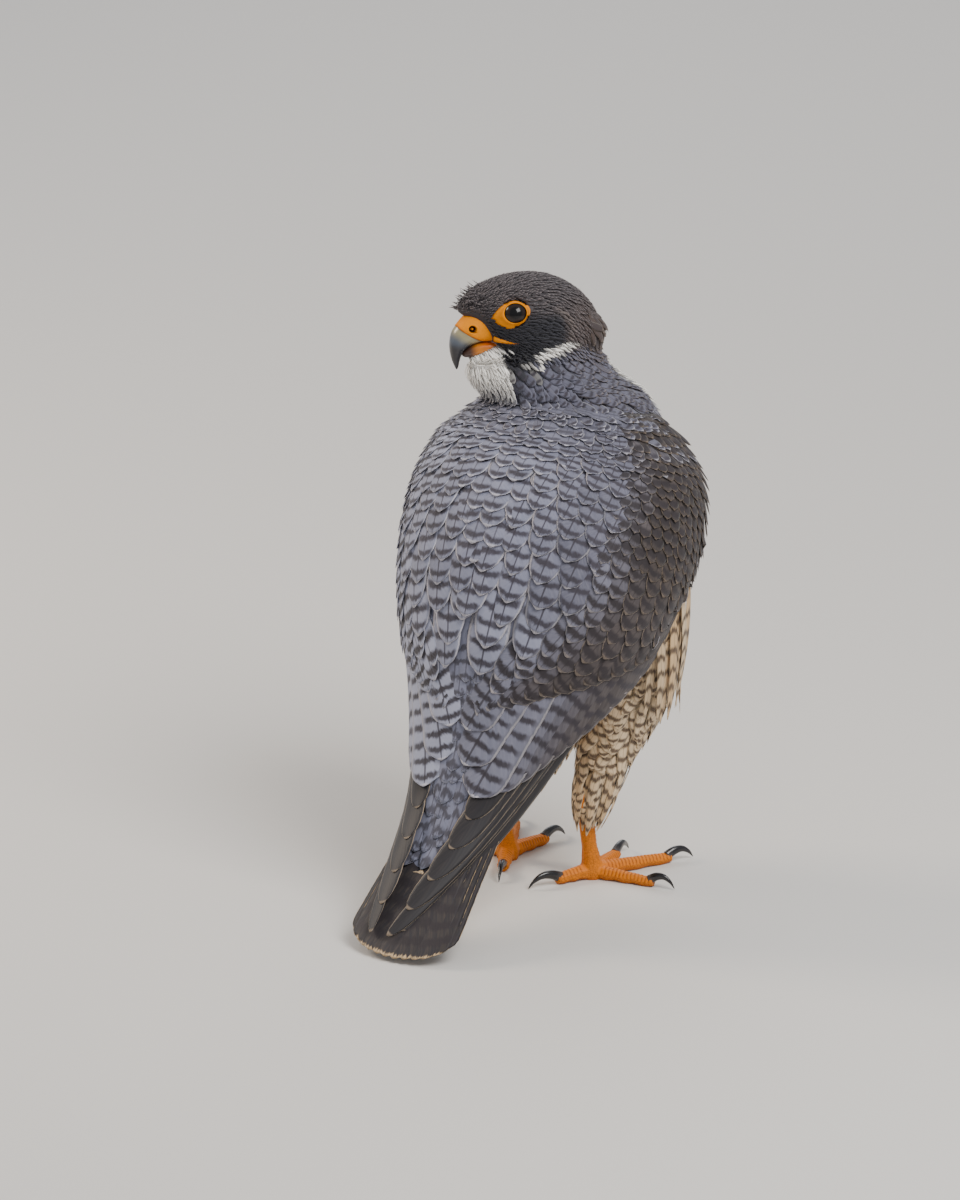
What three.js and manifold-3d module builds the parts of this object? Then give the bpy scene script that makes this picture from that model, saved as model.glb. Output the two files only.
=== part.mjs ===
// A female peregrine falcon, life size, standing on level ground and looking back over its left shoulder.
// Millimetres, +Z up. The body heads towards -Y and its own left side is +X.
// The body is laid out along a bent line from the tail tip up to the neck: s is the way along that line,
// n the height above it on the bird's back, and l the way out to the bird's left.
import * as THREE from 'three';
import { mergeVertices } from 'three/addons/utils/BufferGeometryUtils.js';
import Module from 'manifold-3d';

const wasm = await Module();
wasm.setup();

// Driving sizes of the bird, in millimetres, and its pose, in degrees.
const GAP = 0.3; // between two neighbouring pieces
const BODY_TOP = 364; // where the neck leaves the trunk, along the body line
const VENT = 58; // rear end of the under-tail coverts
const WING_ROOT = 357; // top of the folded wing
const WING_END = 112; // tips of the folded inner flight feathers
const SHOULDER_TOP = 354; // the long shoulder feathers start here
const SHOULDER_END = 170; // and end here
const PRIMARY_ROOT = 214;
const PRIMARY_TIP = 11; // tips of the long outer flight feathers
const WING_SWING = 4; // the wing tips lie this far to the bird's left
const WING_BULGE = 12; // the folded wing stands this far out under the body's middle height
const WING_LIFT = 1.4; // the wing's inside over the trunk
const TAIL_BASE = 138;
const TAIL_SWING = 9; // the tail tip lies this far to the bird's right
const TAIL_THICK = 3.8; // of the closed tail
const TAIL_VAULT = 5; // the tail's middle over its edges
const TAIL_LIFT = -1; // the body line behind the tail tip, which rests on the ground
const THROAT_DROP = 15; // how far the throat's feathers reach down over the shoulder
const HEAD_TURN = 136; // to the left of the body's heading
const HEAD_TILT = 9; // the left side of the face looks up
const HEAD_NOD = 1; // bill down
const HEAD_LEFT = 31.4; // the middle of the head beside the top of the body line
const HEAD_BACK = 25.4;
const HEAD_RISE = 43;
const EYE_RADIUS = 7.6;
const EYE_PLACE = { ahead: 1.5, out: 16.8, up: -0.5 }; // in the head's own frame
const STANCE = 29; // each foot's way out from the middle
const FOOT_FORWARD = 186; // from the tail tip to the feet
const FOOT_TURN = 20; // toes turned out
const HEEL_HEIGHT = 50;
const HEEL_FORWARD = 178;
const SOLE_CUT = 0.7; // what the level ground takes off a round toe pad
const TOES = [
  { number: 3, length: 52, thick: 4.6, turn: 8, claw: 16 },
  { number: 2, length: 34, thick: 4.8, turn: -28, claw: 18 },
  { number: 4, length: 39, thick: 4.2, turn: 62, claw: 14 },
  { number: 1, length: 24, thick: 4.8, turn: 186, claw: 20 },
];

// Along the body line: its slope above the horizon in degrees.
const incline = curve([
  [0, 32], [90, 35], [140, 48], [190, 60], [230, 65], [310, 64], [350, 74], [400, 82],
]);
// The trunk without its wings: half width, height over the body line and depth under it.
const trunkWidth = curve([
  [58, 15], [90, 26], [130, 36], [170, 49], [210, 62], [250, 73], [290, 76], [325, 69], [350, 54],
  [372, 38],
]);
const trunkBack = curve([
  [58, 7], [90, 13], [130, 28], [170, 43], [210, 57], [250, 66], [290, 65], [325, 55], [350, 44],
  [372, 33],
]);
const trunkBelly = curve([
  [58, 8], [90, 14], [130, 25], [170, 41], [210, 57], [250, 67], [290, 71], [325, 67], [350, 55],
  [372, 39],
]);
// The same over the folded wings: half width and height.
const cloakWidth = curve([
  [5, 9], [20, 17], [60, 28], [100, 37], [130, 46], [170, 60], [210, 75], [250, 86], [290, 90],
  [325, 83], [345, 66], [358, 53], [365, 46],
]);
const cloakBack = curve([
  [5, 9], [20, 11], [60, 17], [100, 25], [130, 36], [170, 52], [210, 66], [250, 74], [290, 72],
  [325, 61], [345, 50], [358, 41.5], [365, 38],
]);
// Angles round the body in degrees, 90 at the middle of the back and 0 at the side.
const wingLowerEdge = curve([
  [112, 66], [140, 40], [170, 20], [205, 4], [240, -10], [290, -24], [340, -22], [357, -2],
]);
const shoulderEdge = curve([[172, 80], [200, 63], [240, 48], [280, 38], [320, 35], [356, 42]]);
const primaryEdge = curve([[11, 25], [60, 12], [110, 6], [150, 2], [178, -2], [215, -8]]);
// Half width of the tail.
const tailWidth = curve([[0, 13], [3, 22], [9, 30], [20, 35], [50, 37], [90, 34], [138, 27]]);
// The feathered head along its own x, towards the bill: top and bottom outline, then half width.
const crown = curve([
  [-52, -11], [-46, 1.5], [-37, 11], [-24, 18.6], [-9, 21.3], [5, 20.3], [17, 17], [25, 12.5],
  [30, 7.5], [33, 3],
]);
const chin = curve([
  [-52, -21], [-46, -31], [-35, -37], [-20, -39], [-5, -36], [9, -27], [17, -16], [25, -6], [30, -2.5],
  [33, -0.5],
]);
const cheek = curve([
  [-52, 8], [-46, 16], [-35, 23.5], [-20, 27], [-5, 25], [5, 21.5], [17, 14], [25, 9.5], [30, 6],
  [33, 2.5],
]);
// Rings of the bill in the head's frame: [x, z] on the ridge, [x, z] on the cutting edge, half width.
const CERE_RINGS = [
  [[14, -1], [4, -17.5], 9.5], [[22, 0.5], [11.5, -17.4], 9.2], [[29, -2.4], [16.5, -17], 8.6],
  [[33, -7], [19, -16.9], 7.6],
];
const UPPER_BILL_RINGS = [
  [[33.3, -7.4], [19.3, -17.3], 7.4], [[35.8, -11], [26, -18.8], 6.4], [[37.3, -16.5], [29.8, -21.2], 5],
  [[37.3, -23], [31.5, -24.8], 3.4], [[35.8, -29], [32.6, -28.8], 1.8], [[34.4, -32.4], [33.4, -31.8], 0.5],
];
const LOWER_BILL_RINGS = [
  [[2, -17.5], [2, -24], 8.4], [[12, -17.8], [12, -24.8], 7.6], [[20, -18], [20, -25.8], 6.4],
  [[26.5, -20], [26, -26.2], 4.8], [[29.6, -22.6], [29.2, -25.6], 2.4],
];
// Down each leg: way out from the middle, way forward from the tail tip, height and radius.
const THIGH_ROWS = [
  [38, 200, 150, 24], [39, 204, 128, 30], [37, 204, 106, 28], [33, 198, 84, 21],
  [31, 190, 66, 14], [30, 184, 52, 9], [STANCE, HEEL_FORWARD + 3, 41, 6.6],
];
const TARSUS_ROWS = [
  [STANCE, HEEL_FORWARD + 1, HEEL_HEIGHT + 4, 5], [STANCE, HEEL_FORWARD, HEEL_HEIGHT - 3, 5.6],
  [STANCE, HEEL_FORWARD + 2, HEEL_HEIGHT - 14, 4.7], [STANCE, FOOT_FORWARD - 3, 20, 4.5],
  [STANCE, FOOT_FORWARD - 1, 11, 5.8], [STANCE, FOOT_FORWARD, 5, 7], [STANCE, FOOT_FORWARD, -1, 6],
];
// Along each claw, as parts of its length: height over the ground and thickness as a part of the toe's.
const CLAW_ROWS = [
  [0, 4.2, 0.62], [0.28, 6.6, 0.55], [0.58, 6.9, 0.4], [0.84, 4.4, 0.24], [0.98, 1.1, 0.07],
];

const COLOURS = {
  head: 0x3d393c,
  cere: 0xf0a81c,
  bill: 0x4a5058,
  eye: 0x17110f,
  neck: 0xd8d2c6,
  trunk: 0xd9cdb8,
  shoulder: 0x787c8a,
  wing: 0x5c5755,
  primary: 0x403b3c,
  tail: 0x39353a,
  thigh: 0xcbbd9f,
  foot: 0xe79a17,
  claw: 0x18161a,
};
const SATIN = 0.5;
const POLISHED = 0.3;
const WET = 0.1;

const AHEAD = new THREE.Vector3(0, -1, 0);
const UP = new THREE.Vector3(0, 0, 1);

function rad(degrees) {
  return degrees * Math.PI / 180;
}

// A smooth curve through rows of [place, value], level beyond its ends.
function curve(rows) {
  const slopes = rows.map((row, k) => {
    const before = rows[Math.max(k - 1, 0)];
    const after = rows[Math.min(k + 1, rows.length - 1)];
    return (after[1] - before[1]) / (after[0] - before[0]);
  });
  return (at) => {
    const x = Math.min(Math.max(at, rows[0][0]), rows.at(-1)[0]);
    const k = Math.min(rows.findLastIndex((row) => row[0] <= x), rows.length - 2);
    const span = rows[k + 1][0] - rows[k][0];
    const t = (x - rows[k][0]) / span;
    const rise = rows[k + 1][1] - rows[k][1];
    return rows[k][1] + t * t * (3 - 2 * t) * rise
      + span * t * (1 - t) * ((1 - t) * slopes[k] - t * slopes[k + 1]);
  };
}

// The body line, walked in short steps from just behind the tail tip on the ground: [forward, height].
const LINE_STEP = 2;
const LINE_START = -4;
const LINE_END = 400;
const bodyLine = [[0, TAIL_LIFT]];
for (let s = LINE_START; s < LINE_END; s += LINE_STEP) {
  const [forward, height] = bodyLine.at(-1);
  const slope = rad(incline(s + LINE_STEP / 2));
  bodyLine.push([forward + LINE_STEP * Math.cos(slope), height + LINE_STEP * Math.sin(slope)]);
}

function place(s, n, l) {
  const steps = (s - LINE_START) / LINE_STEP;
  const k = Math.min(Math.floor(steps), bodyLine.length - 2);
  const forward = THREE.MathUtils.lerp(bodyLine[k][0], bodyLine[k + 1][0], steps - k);
  const height = THREE.MathUtils.lerp(bodyLine[k][1], bodyLine[k + 1][1], steps - k);
  const slope = rad(incline(s));
  return new THREE.Vector3(l, n * Math.sin(slope) - forward, height + n * Math.cos(slope));
}

// A closed body from points and triangles, its faces turned outwards.
function solid(points, faces) {
  const normal = new THREE.Vector3();
  let volume = 0;
  for (const [a, b, c] of faces) volume += points[a].dot(normal.crossVectors(points[b], points[c]));
  const outward = volume > 0 ? faces : faces.map(([a, b, c]) => [a, c, b]);
  return new wasm.Manifold(new wasm.Mesh({
    numProp: 3,
    vertProperties: new Float32Array(points.flatMap((p) => [p.x, p.y, p.z])),
    triVerts: new Uint32Array(outward.flat()),
  }));
}

// A closed body through rings of points. Each end closes on its end point, or on the middle of its ring.
function loft(rings, startPoint, endPoint) {
  const count = rings[0].length;
  const points = rings.flat();
  const faces = [];
  for (let r = 0; r + 1 < rings.length; r += 1) {
    for (let k = 0; k < count; k += 1) {
      const a = r * count + k;
      const b = r * count + (k + 1) % count;
      faces.push([a, b, a + count], [b, b + count, a + count]);
    }
  }
  const middle = (ring) => ring.reduce((sum, p) => sum.add(p), new THREE.Vector3()).divideScalar(count);
  const start = points.push(startPoint ?? middle(rings[0])) - 1;
  const end = points.push(endPoint ?? middle(rings.at(-1))) - 1;
  const last = (rings.length - 1) * count;
  for (let k = 0; k < count; k += 1) {
    const next = (k + 1) % count;
    faces.push([start, next, k], [end, last + k, last + next]);
  }
  return solid(points, faces);
}

// A closed plate between an outer and an inner surface, each a function of two steps from 0 to 1.
function plate(along, across, outer, inner) {
  const points = [];
  for (const surface of [outer, inner]) {
    for (let i = 0; i <= along; i += 1) {
      for (let j = 0; j <= across; j += 1) points.push(surface(i / along, j / across));
    }
  }
  const row = across + 1;
  const layer = row * (along + 1);
  const faces = [];
  for (let i = 0; i < along; i += 1) {
    for (let j = 0; j < across; j += 1) {
      const a = i * row + j;
      const b = a + layer;
      faces.push([a, a + 1, a + row], [a + 1, a + row + 1, a + row]);
      faces.push([b, b + row, b + 1], [b + 1, b + row, b + row + 1]);
    }
  }
  const rim = [];
  for (let j = 0; j < across; j += 1) rim.push(j);
  for (let i = 0; i < along; i += 1) rim.push(i * row + across);
  for (let j = across; j > 0; j -= 1) rim.push(along * row + j);
  for (let i = along; i > 0; i -= 1) rim.push(i * row);
  rim.forEach((a, k) => {
    const b = rim[(k + 1) % rim.length];
    faces.push([a, a + layer, b], [b, a + layer, b + layer]);
  });
  return solid(points, faces);
}

function around(sides, pointAt) {
  return Array.from({ length: sides }, (_, k) => pointAt(2 * Math.PI * k / sides));
}

// A tapering round limb along a path of [point, radius] that never runs the way of upright.
function limb(path, sides, upright) {
  const ahead = new THREE.Vector3();
  const side = new THREE.Vector3();
  const up = new THREE.Vector3();
  return loft(path.map(([point, radius], k) => {
    ahead.subVectors(path[Math.min(k + 1, path.length - 1)][0], path[Math.max(k - 1, 0)][0]).normalize();
    side.crossVectors(ahead, upright).normalize();
    up.crossVectors(side, ahead);
    return around(sides, (turn) => point.clone()
      .addScaledVector(side, radius * Math.cos(turn))
      .addScaledVector(up, radius * Math.sin(turn)));
  }));
}

// The trunk without the wings. Every shape below can be grown a little, to cut its neighbours with.
function trunkSolid(grow) {
  const from = VENT - grow;
  const rings = Array.from({ length: 15 }, (_, k) => {
    const s = from + (BODY_TOP - from) * k / 14;
    return around(24, (turn) => {
      const depth = Math.sin(turn) > 0 ? trunkBack(s) : trunkBelly(s);
      return place(s, (depth + grow) * Math.sin(turn), (trunkWidth(s) + grow) * Math.cos(turn));
    });
  });
  return loft(rings, place(from - 6, 0, 0), place(BODY_TOP + grow, 0, 0));
}

function tailSolid(grow) {
  return loft([0, 3, 9, 20, 50, 80, 110, TAIL_BASE].map((s) => around(16, (turn) => {
    const spread = Math.cos(turn + Math.PI / 16);
    const out = Math.sign(spread) * Math.abs(spread) ** 0.8;
    const over = Math.sign(Math.sin(turn + Math.PI / 16)) * (TAIL_THICK / 2 + grow);
    const vault = TAIL_VAULT * (1 - out * out) * Math.min(s / 60, 1);
    const swing = -TAIL_SWING * (1 - s / TAIL_BASE);
    return place(s > 0 ? s : -grow, vault + over, (tailWidth(s) + grow) * out + swing);
  })));
}

// A point on the outer surface of the folded wings, or sunk under it, at an angle round the body.
function onCloak(s, turn, side, sink) {
  const height = (turn > 0 ? cloakBack(s) : trunkBelly(s) + WING_BULGE) - sink;
  const width = cloakWidth(s) - sink;
  const swing = WING_SWING * Math.max(0, 1 - s / WING_END) ** 2;
  return place(s, height * Math.sin(rad(turn)), side * width * Math.cos(rad(turn)) + swing);
}

// A point on the inside of the wing, just over the trunk.
function underWing(s, turn, side, sink) {
  const height = (turn > 0 ? trunkBack(s) : trunkBelly(s)) + WING_LIFT - sink;
  const width = trunkWidth(s) + WING_LIFT - sink;
  return place(s, height * Math.sin(rad(turn)), side * width * Math.cos(rad(turn)));
}

// A layer of the wing between two places along the body and two angles round it.
function layer(from, to, upperEdge, lowerEdge, along, across, outer, inner) {
  const at = (surface) => (t, u) => {
    const s = from + (to - from) * t;
    return surface(s, THREE.MathUtils.lerp(upperEdge(s), lowerEdge(s), u), t);
  };
  return plate(along, across, at(outer), at(inner));
}

// The long shoulder feathers that cover one side of the back.
function shoulderSolid(side, grow) {
  return layer(
    SHOULDER_END - grow, SHOULDER_TOP + grow, () => 89.3 + grow, (s) => shoulderEdge(s) + 0.6, 11, 5,
    (s, turn) => onCloak(s, turn, side, -grow),
    (s, turn) => underWing(s, turn, side, grow),
  );
}

// The folded wing beside them: coverts and inner flight feathers.
function wingSolid(side, grow) {
  const spread = 2 * grow;
  return layer(
    WING_END - grow, WING_ROOT + grow,
    (s) => (s < SHOULDER_END ? 88.5 : shoulderEdge(s)) + spread, (s) => wingLowerEdge(s) - spread, 13, 7,
    (s, turn) => onCloak(s, turn, side, -3 * grow),
    (s, turn) => underWing(s, turn, side, grow),
  );
}

// The long outer flight feathers, from under the wing to their tips over the tail.
function primarySolid(side, grow) {
  const upperEdge = (s) => (s < WING_END ? 87 : Math.min(87, wingLowerEdge(s) + 8));
  return layer(
    PRIMARY_TIP - grow, PRIMARY_ROOT + grow, upperEdge, (s) => primaryEdge(s) - 3 * grow, 12, 6,
    (s, turn) => onCloak(s, turn, side, 0.8 - grow),
    (s, turn, t) => onCloak(s, turn, side, 4 + grow + 4 * t * (1 - t)),
  );
}

// The head's own frame: x towards the bill, y to its left, z up, its zero between the eyes.
const headMiddle = place(372, 0, 0).add(new THREE.Vector3(HEAD_LEFT, HEAD_BACK, HEAD_RISE));
const headFrame = new THREE.Matrix4()
  .makeTranslation(headMiddle.x, headMiddle.y, headMiddle.z)
  .multiply(new THREE.Matrix4().makeRotationZ(rad(HEAD_TURN - 90)))
  .multiply(new THREE.Matrix4().makeRotationX(rad(HEAD_TILT)))
  .multiply(new THREE.Matrix4().makeRotationY(rad(HEAD_NOD)));

function onHead(x, y, z) {
  return new THREE.Vector3(x, y, z).applyMatrix4(headFrame);
}

function headSolid(grow) {
  const rings = [-52, -47, -41, -32, -22, -12, -3, 5, 12, 18, 24, 29, 32].map((x) => {
    const middle = (crown(x) + chin(x)) / 2;
    const half = (crown(x) - chin(x)) / 2 + grow;
    const width = cheek(x) + grow;
    return around(20, (turn) => onHead(x, width * Math.cos(turn), middle + half * Math.sin(turn)));
  });
  return loft(rings, onHead(-54 - grow, 0, -16), onHead(33.5 + grow, 0, 1));
}

// One horn of the bill: round on its ridge, with steep sides down to the cutting edge.
function billSolid(rings, grow) {
  return loft(rings.map(([[ridgeX, ridgeZ], [edgeX, edgeZ], width]) => {
    const rise = 0.5 + grow / Math.hypot(ridgeX - edgeX, ridgeZ - edgeZ);
    return around(14, (turn) => {
      const up = rise * Math.sin(turn);
      const out = Math.sign(Math.cos(turn)) * Math.abs(Math.cos(turn)) ** (up < 0 ? 0.6 : 1);
      return onHead((ridgeX + edgeX) / 2 + (ridgeX - edgeX) * up, (width + grow) * out,
        (ridgeZ + edgeZ) / 2 + (ridgeZ - edgeZ) * up);
    });
  }));
}

function eyeSolid(side, grow) {
  const ball = new THREE.SphereGeometry(EYE_RADIUS + grow, 12, 8);
  ball.deleteAttribute('normal');
  ball.deleteAttribute('uv');
  const closed = mergeVertices(ball, 1e-3);
  const at = onHead(EYE_PLACE.ahead, side * EYE_PLACE.out, EYE_PLACE.up);
  closed.translate(at.x, at.y, at.z);
  return new wasm.Manifold(new wasm.Mesh({
    numProp: 3,
    vertProperties: new Float32Array(closed.attributes.position.array),
    triVerts: new Uint32Array(closed.index.array),
  }));
}

// The neck turns from the top of the trunk into the head, and swells towards the throat under the bill.
function neckSolid() {
  const foot = BODY_TOP + GAP;
  const turned = rad(HEAD_TURN - 90);
  const startSlope = place(foot + 28, 0, 0).sub(place(foot, 0, 0));
  const endSlope = UP.clone().multiplyScalar(62);
  const halfLong = 41;
  const halfWide = 25;
  const rings = Array.from({ length: 7 }, (_, level) => {
    const t = level / 6;
    return around(18, (turn) => {
      const across = turn - turned;
      const towards = Math.cos(across);
      const swell = 1 + (towards > 0 ? 0.32 : 0.02) * towards * Math.abs(towards);
      const depth = Math.sin(turn) > 0 ? trunkBack(foot) : trunkBelly(foot);
      const width = trunkWidth(foot);
      const drop = THROAT_DROP * Math.max(0, towards) ** 2;
      const low = place(foot - drop, swell * depth * Math.sin(turn), swell * width * Math.cos(turn));
      const reach = 1 / Math.hypot(towards / halfLong, Math.sin(across) / halfWide);
      const high = onHead(reach * towards - 10, reach * Math.sin(across), -24 - 4 * towards);
      return low.multiplyScalar(2 * t ** 3 - 3 * t ** 2 + 1)
        .addScaledVector(startSlope, t ** 3 - 2 * t ** 2 + t)
        .addScaledVector(high, 3 * t ** 2 - 2 * t ** 3)
        .addScaledVector(endSlope, t ** 3 - t ** 2);
    });
  });
  return loft(rings, undefined, onHead(-12, 0, -21));
}

function legSolid(rows, side, sides, grow) {
  const path = rows.map(([out, forward, height, radius]) => [
    new THREE.Vector3(side * out, -forward, height), radius + grow,
  ]);
  return limb(path, sides, AHEAD);
}

// The way each toe points over the ground, and where its foot stands.
const footPlace = (side) => new THREE.Vector3(side * STANCE, -FOOT_FORWARD, 0);
const toeAhead = (toe, side) => AHEAD.clone().applyAxisAngle(UP, side * rad(toe.turn + FOOT_TURN));

// A toe with three round pads on the ground, which its joints arch between.
function toeSolid(toe, side, grow) {
  const path = [0.1, 0.25, 0.4, 0.55, 0.7, 0.85, 1].map((t, k) => {
    const pad = k % 2 === 1;
    const radius = toe.thick * (1.06 - 0.34 * t) * (pad ? 1.04 : 0.94);
    const height = radius - SOLE_CUT + (pad ? 0 : 0.9);
    const point = footPlace(side).addScaledVector(toeAhead(toe, side), toe.length * t);
    return [point.setZ(height), radius + grow];
  });
  return limb(path, 7, UP);
}

function clawSolid(toe, side) {
  const path = CLAW_ROWS.map(([t, height, part]) => {
    const way = toe.length - 1 + toe.claw * t;
    return [footPlace(side).addScaledVector(toeAhead(toe, side), way).setZ(height), toe.thick * part];
  });
  return limb(path, 6, UP);
}

// Everything above the ground, as one great block.
const REACH = 500;
const aboveGround = loft([0, REACH].map((height) => (
  [[-1, -1], [1, -1], [1, 1], [-1, 1]].map(([x, y]) => new THREE.Vector3(REACH * x, REACH * y, height))
)));

const falcon = new THREE.Group();

function add(name, body, colour, roughness = 0.8) {
  const mesh = body.getMesh();
  const geometry = new THREE.BufferGeometry();
  geometry.setAttribute('position', new THREE.BufferAttribute(new Float32Array(mesh.vertProperties), 3));
  geometry.setIndex(new THREE.BufferAttribute(new Uint32Array(mesh.triVerts), 1));
  const material = new THREE.MeshStandardMaterial({ color: colour, roughness, metalness: 0 });
  const part = new THREE.Mesh(geometry, material);
  part.name = name;
  falcon.add(part);
}

const trunkGrown = trunkSolid(GAP);
const tailGrown = tailSolid(GAP);
const headGrown = headSolid(GAP);
const upperBillGrown = billSolid(CERE_RINGS, GAP).add(billSolid(UPPER_BILL_RINGS, GAP));
const billGrown = upperBillGrown.add(billSolid(LOWER_BILL_RINGS, GAP));
let neck = neckSolid().subtract(headGrown).subtract(billGrown).subtract(trunkGrown);
for (const side of [1, -1]) {
  neck = neck.subtract(shoulderSolid(side, GAP)).subtract(wingSolid(side, GAP));
}
const lowerBill = billSolid(LOWER_BILL_RINGS, 0).subtract(upperBillGrown).subtract(headGrown);

add('trunk', trunkSolid(0), COLOURS.trunk);
add('neck', neck, COLOURS.neck);
add('tail', tailSolid(0).subtract(trunkGrown).intersect(aboveGround), COLOURS.tail);
add('head', headSolid(0).subtract(eyeSolid(1, GAP)).subtract(eyeSolid(-1, GAP)), COLOURS.head);
add('cere', billSolid(CERE_RINGS, 0).subtract(headGrown), COLOURS.cere, SATIN);
add('bill_upper', billSolid(UPPER_BILL_RINGS, 0).subtract(headGrown), COLOURS.bill, POLISHED);
add('bill_lower', lowerBill, COLOURS.bill, POLISHED);

for (const [side, word] of [[1, 'left'], [-1, 'right']]) {
  const wingGrown = wingSolid(side, GAP);
  const primaryGrown = primarySolid(side, GAP);
  const tarsusGrown = legSolid(TARSUS_ROWS, side, 10, GAP);
  const tips = primarySolid(side, 0).subtract(tailGrown);
  const thigh = legSolid(THIGH_ROWS, side, 13, 0).subtract(trunkGrown).subtract(tarsusGrown);
  add(`eye_${word}`, eyeSolid(side, 0), COLOURS.eye, WET);
  add(`shoulder_${word}`, shoulderSolid(side, 0).subtract(wingGrown).subtract(trunkGrown), COLOURS.shoulder);
  add(`wing_${word}`, wingSolid(side, 0).subtract(trunkGrown), COLOURS.wing);
  add(`primaries_${word}`, tips.subtract(wingGrown).subtract(trunkGrown), COLOURS.primary);
  add(`thigh_${word}`, thigh.subtract(wingGrown).subtract(primaryGrown), COLOURS.thigh);
  add(`tarsus_${word}`, legSolid(TARSUS_ROWS, side, 10, 0).intersect(aboveGround), COLOURS.foot, SATIN);
  let taken = tarsusGrown;
  for (const toe of TOES) {
    const toeGrown = toeSolid(toe, side, GAP);
    const pads = toeSolid(toe, side, 0).subtract(taken).intersect(aboveGround);
    add(`toe_${toe.number}_${word}`, pads, COLOURS.foot, SATIN);
    add(`claw_${toe.number}_${word}`, clawSolid(toe, side).subtract(toeGrown), COLOURS.claw, POLISHED);
    taken = taken.add(toeGrown);
  }
}

// The zero lies on the ground, under the middle of the whole bird.
const middle = new THREE.Box3().setFromObject(falcon).getCenter(new THREE.Vector3());
for (const part of falcon.children) part.geometry.translate(-middle.x, -middle.y, 0);

export default falcon;
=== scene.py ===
"""A female peregrine falcon, life size, standing and looking back over its left shoulder.

Lengths are in millimetres until a mesh is made. The body is laid out along a bent line from the tail tip
up to the neck, as its solids are: s is the way along that line, n the height above it on the bird's back,
l the way out to its left. An angle round the body is 90 at the middle of the back and 0 at its left side.
"""
import itertools
import math

import bpy
import numpy as np
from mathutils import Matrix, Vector
from mathutils.bvhtree import BVHTree


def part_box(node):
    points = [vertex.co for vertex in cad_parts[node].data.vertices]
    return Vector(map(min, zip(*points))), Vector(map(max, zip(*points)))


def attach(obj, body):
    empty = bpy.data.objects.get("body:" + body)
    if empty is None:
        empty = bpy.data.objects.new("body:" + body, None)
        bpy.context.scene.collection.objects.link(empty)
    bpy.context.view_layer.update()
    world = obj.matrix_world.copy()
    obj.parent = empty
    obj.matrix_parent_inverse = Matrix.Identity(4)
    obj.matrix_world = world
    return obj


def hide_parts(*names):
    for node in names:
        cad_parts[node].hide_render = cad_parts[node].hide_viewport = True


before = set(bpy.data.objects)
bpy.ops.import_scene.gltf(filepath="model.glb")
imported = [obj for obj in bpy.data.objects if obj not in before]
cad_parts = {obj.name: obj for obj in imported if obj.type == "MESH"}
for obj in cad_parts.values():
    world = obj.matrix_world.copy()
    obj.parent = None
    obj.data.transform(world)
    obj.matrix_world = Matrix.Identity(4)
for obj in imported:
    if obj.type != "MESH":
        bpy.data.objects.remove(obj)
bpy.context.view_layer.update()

MM = 0.001
SIDES = (1, "left"), (-1, "right")
rng = np.random.default_rng(7)


# The body's own measures


def curve(rows):
    """A smooth curve through rows of (place, value), level beyond its ends."""
    x, y = np.array(rows, float).T
    last = len(x) - 1
    before = np.maximum(np.arange(len(x)) - 1, 0)
    after = np.minimum(np.arange(len(x)) + 1, last)
    slope = (y[after] - y[before]) / (x[after] - x[before])

    def at(place):
        p = np.clip(np.asarray(place, float), x[0], x[-1])
        k = np.clip(np.searchsorted(x, p, side="right") - 1, 0, last - 1)
        span = x[k + 1] - x[k]
        t = (p - x[k]) / span
        rise = y[k + 1] - y[k]
        bend = span * t * (1 - t) * ((1 - t) * slope[k] - t * slope[k + 1])
        return y[k] + t * t * (3 - 2 * t) * rise + bend

    return at


def smooth(low, high, x):
    """Rises smoothly from 0 at low to 1 at high; low may be the greater."""
    t = np.clip((x - low) / (high - low), 0, 1)
    return t * t * (3 - 2 * t)


def unit(v):
    return v / np.maximum(np.linalg.norm(v, axis=-1, keepdims=True), 1e-9)


def mix(a, b, t):
    """Colours part t of the way from a to b."""
    t = np.asarray(t, float)[..., None]
    return np.asarray(a, float) * (1 - t) + np.asarray(b, float) * t


INCLINE = curve([[0, 32], [90, 35], [140, 48], [190, 60], [230, 65], [310, 64], [350, 74], [400, 82]])
TRUNK_BELLY = curve([[58, 8], [90, 14], [130, 25], [170, 41], [210, 57], [250, 67], [290, 71], [325, 67],
                     [350, 55], [372, 39]])
CLOAK_WIDTH = curve([[5, 9], [20, 17], [60, 28], [100, 37], [130, 46], [170, 60], [210, 75], [250, 86],
                     [290, 90], [325, 83], [345, 66], [358, 53], [365, 46]])
CLOAK_BACK = curve([[5, 9], [20, 11], [60, 17], [100, 25], [130, 36], [170, 52], [210, 66], [250, 74],
                    [290, 72], [325, 61], [345, 50], [358, 41.5], [365, 38]])
WING_LOWER = curve([[112, 66], [140, 40], [170, 20], [205, 4], [240, -10], [290, -24], [340, -22],
                    [357, -2]])
WING_UPPER = curve([[112, 88], [150, 86], [172, 80], [200, 66], [240, 52], [280, 44], [320, 42], [356, 46]])
PRIMARY_LOWER = curve([[11, 25], [60, 12], [110, 6], [150, 2], [178, -2], [215, -8]])
TAIL_WIDTH = curve([[0, 13], [3, 22], [9, 30], [20, 35], [50, 37], [90, 34], [138, 27]])
WING_START, WING_END = 112, 350
CLOAK_OVER_BELLY = 12
NECK_START = 338
HIGHEST_ROOT = 361
BODY_TOP = 364
TAIL_BASE = 138

LINE_STEP = 2
LINE_S = np.arange(-4, 401, LINE_STEP)
LINE_SLOPE = np.radians(INCLINE(LINE_S[:-1] + LINE_STEP / 2))
LINE_FORWARD = np.concatenate([[0], np.cumsum(LINE_STEP * np.cos(LINE_SLOPE))])
LINE_HEIGHT = -1 + np.concatenate([[0], np.cumsum(LINE_STEP * np.sin(LINE_SLOPE))])


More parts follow.
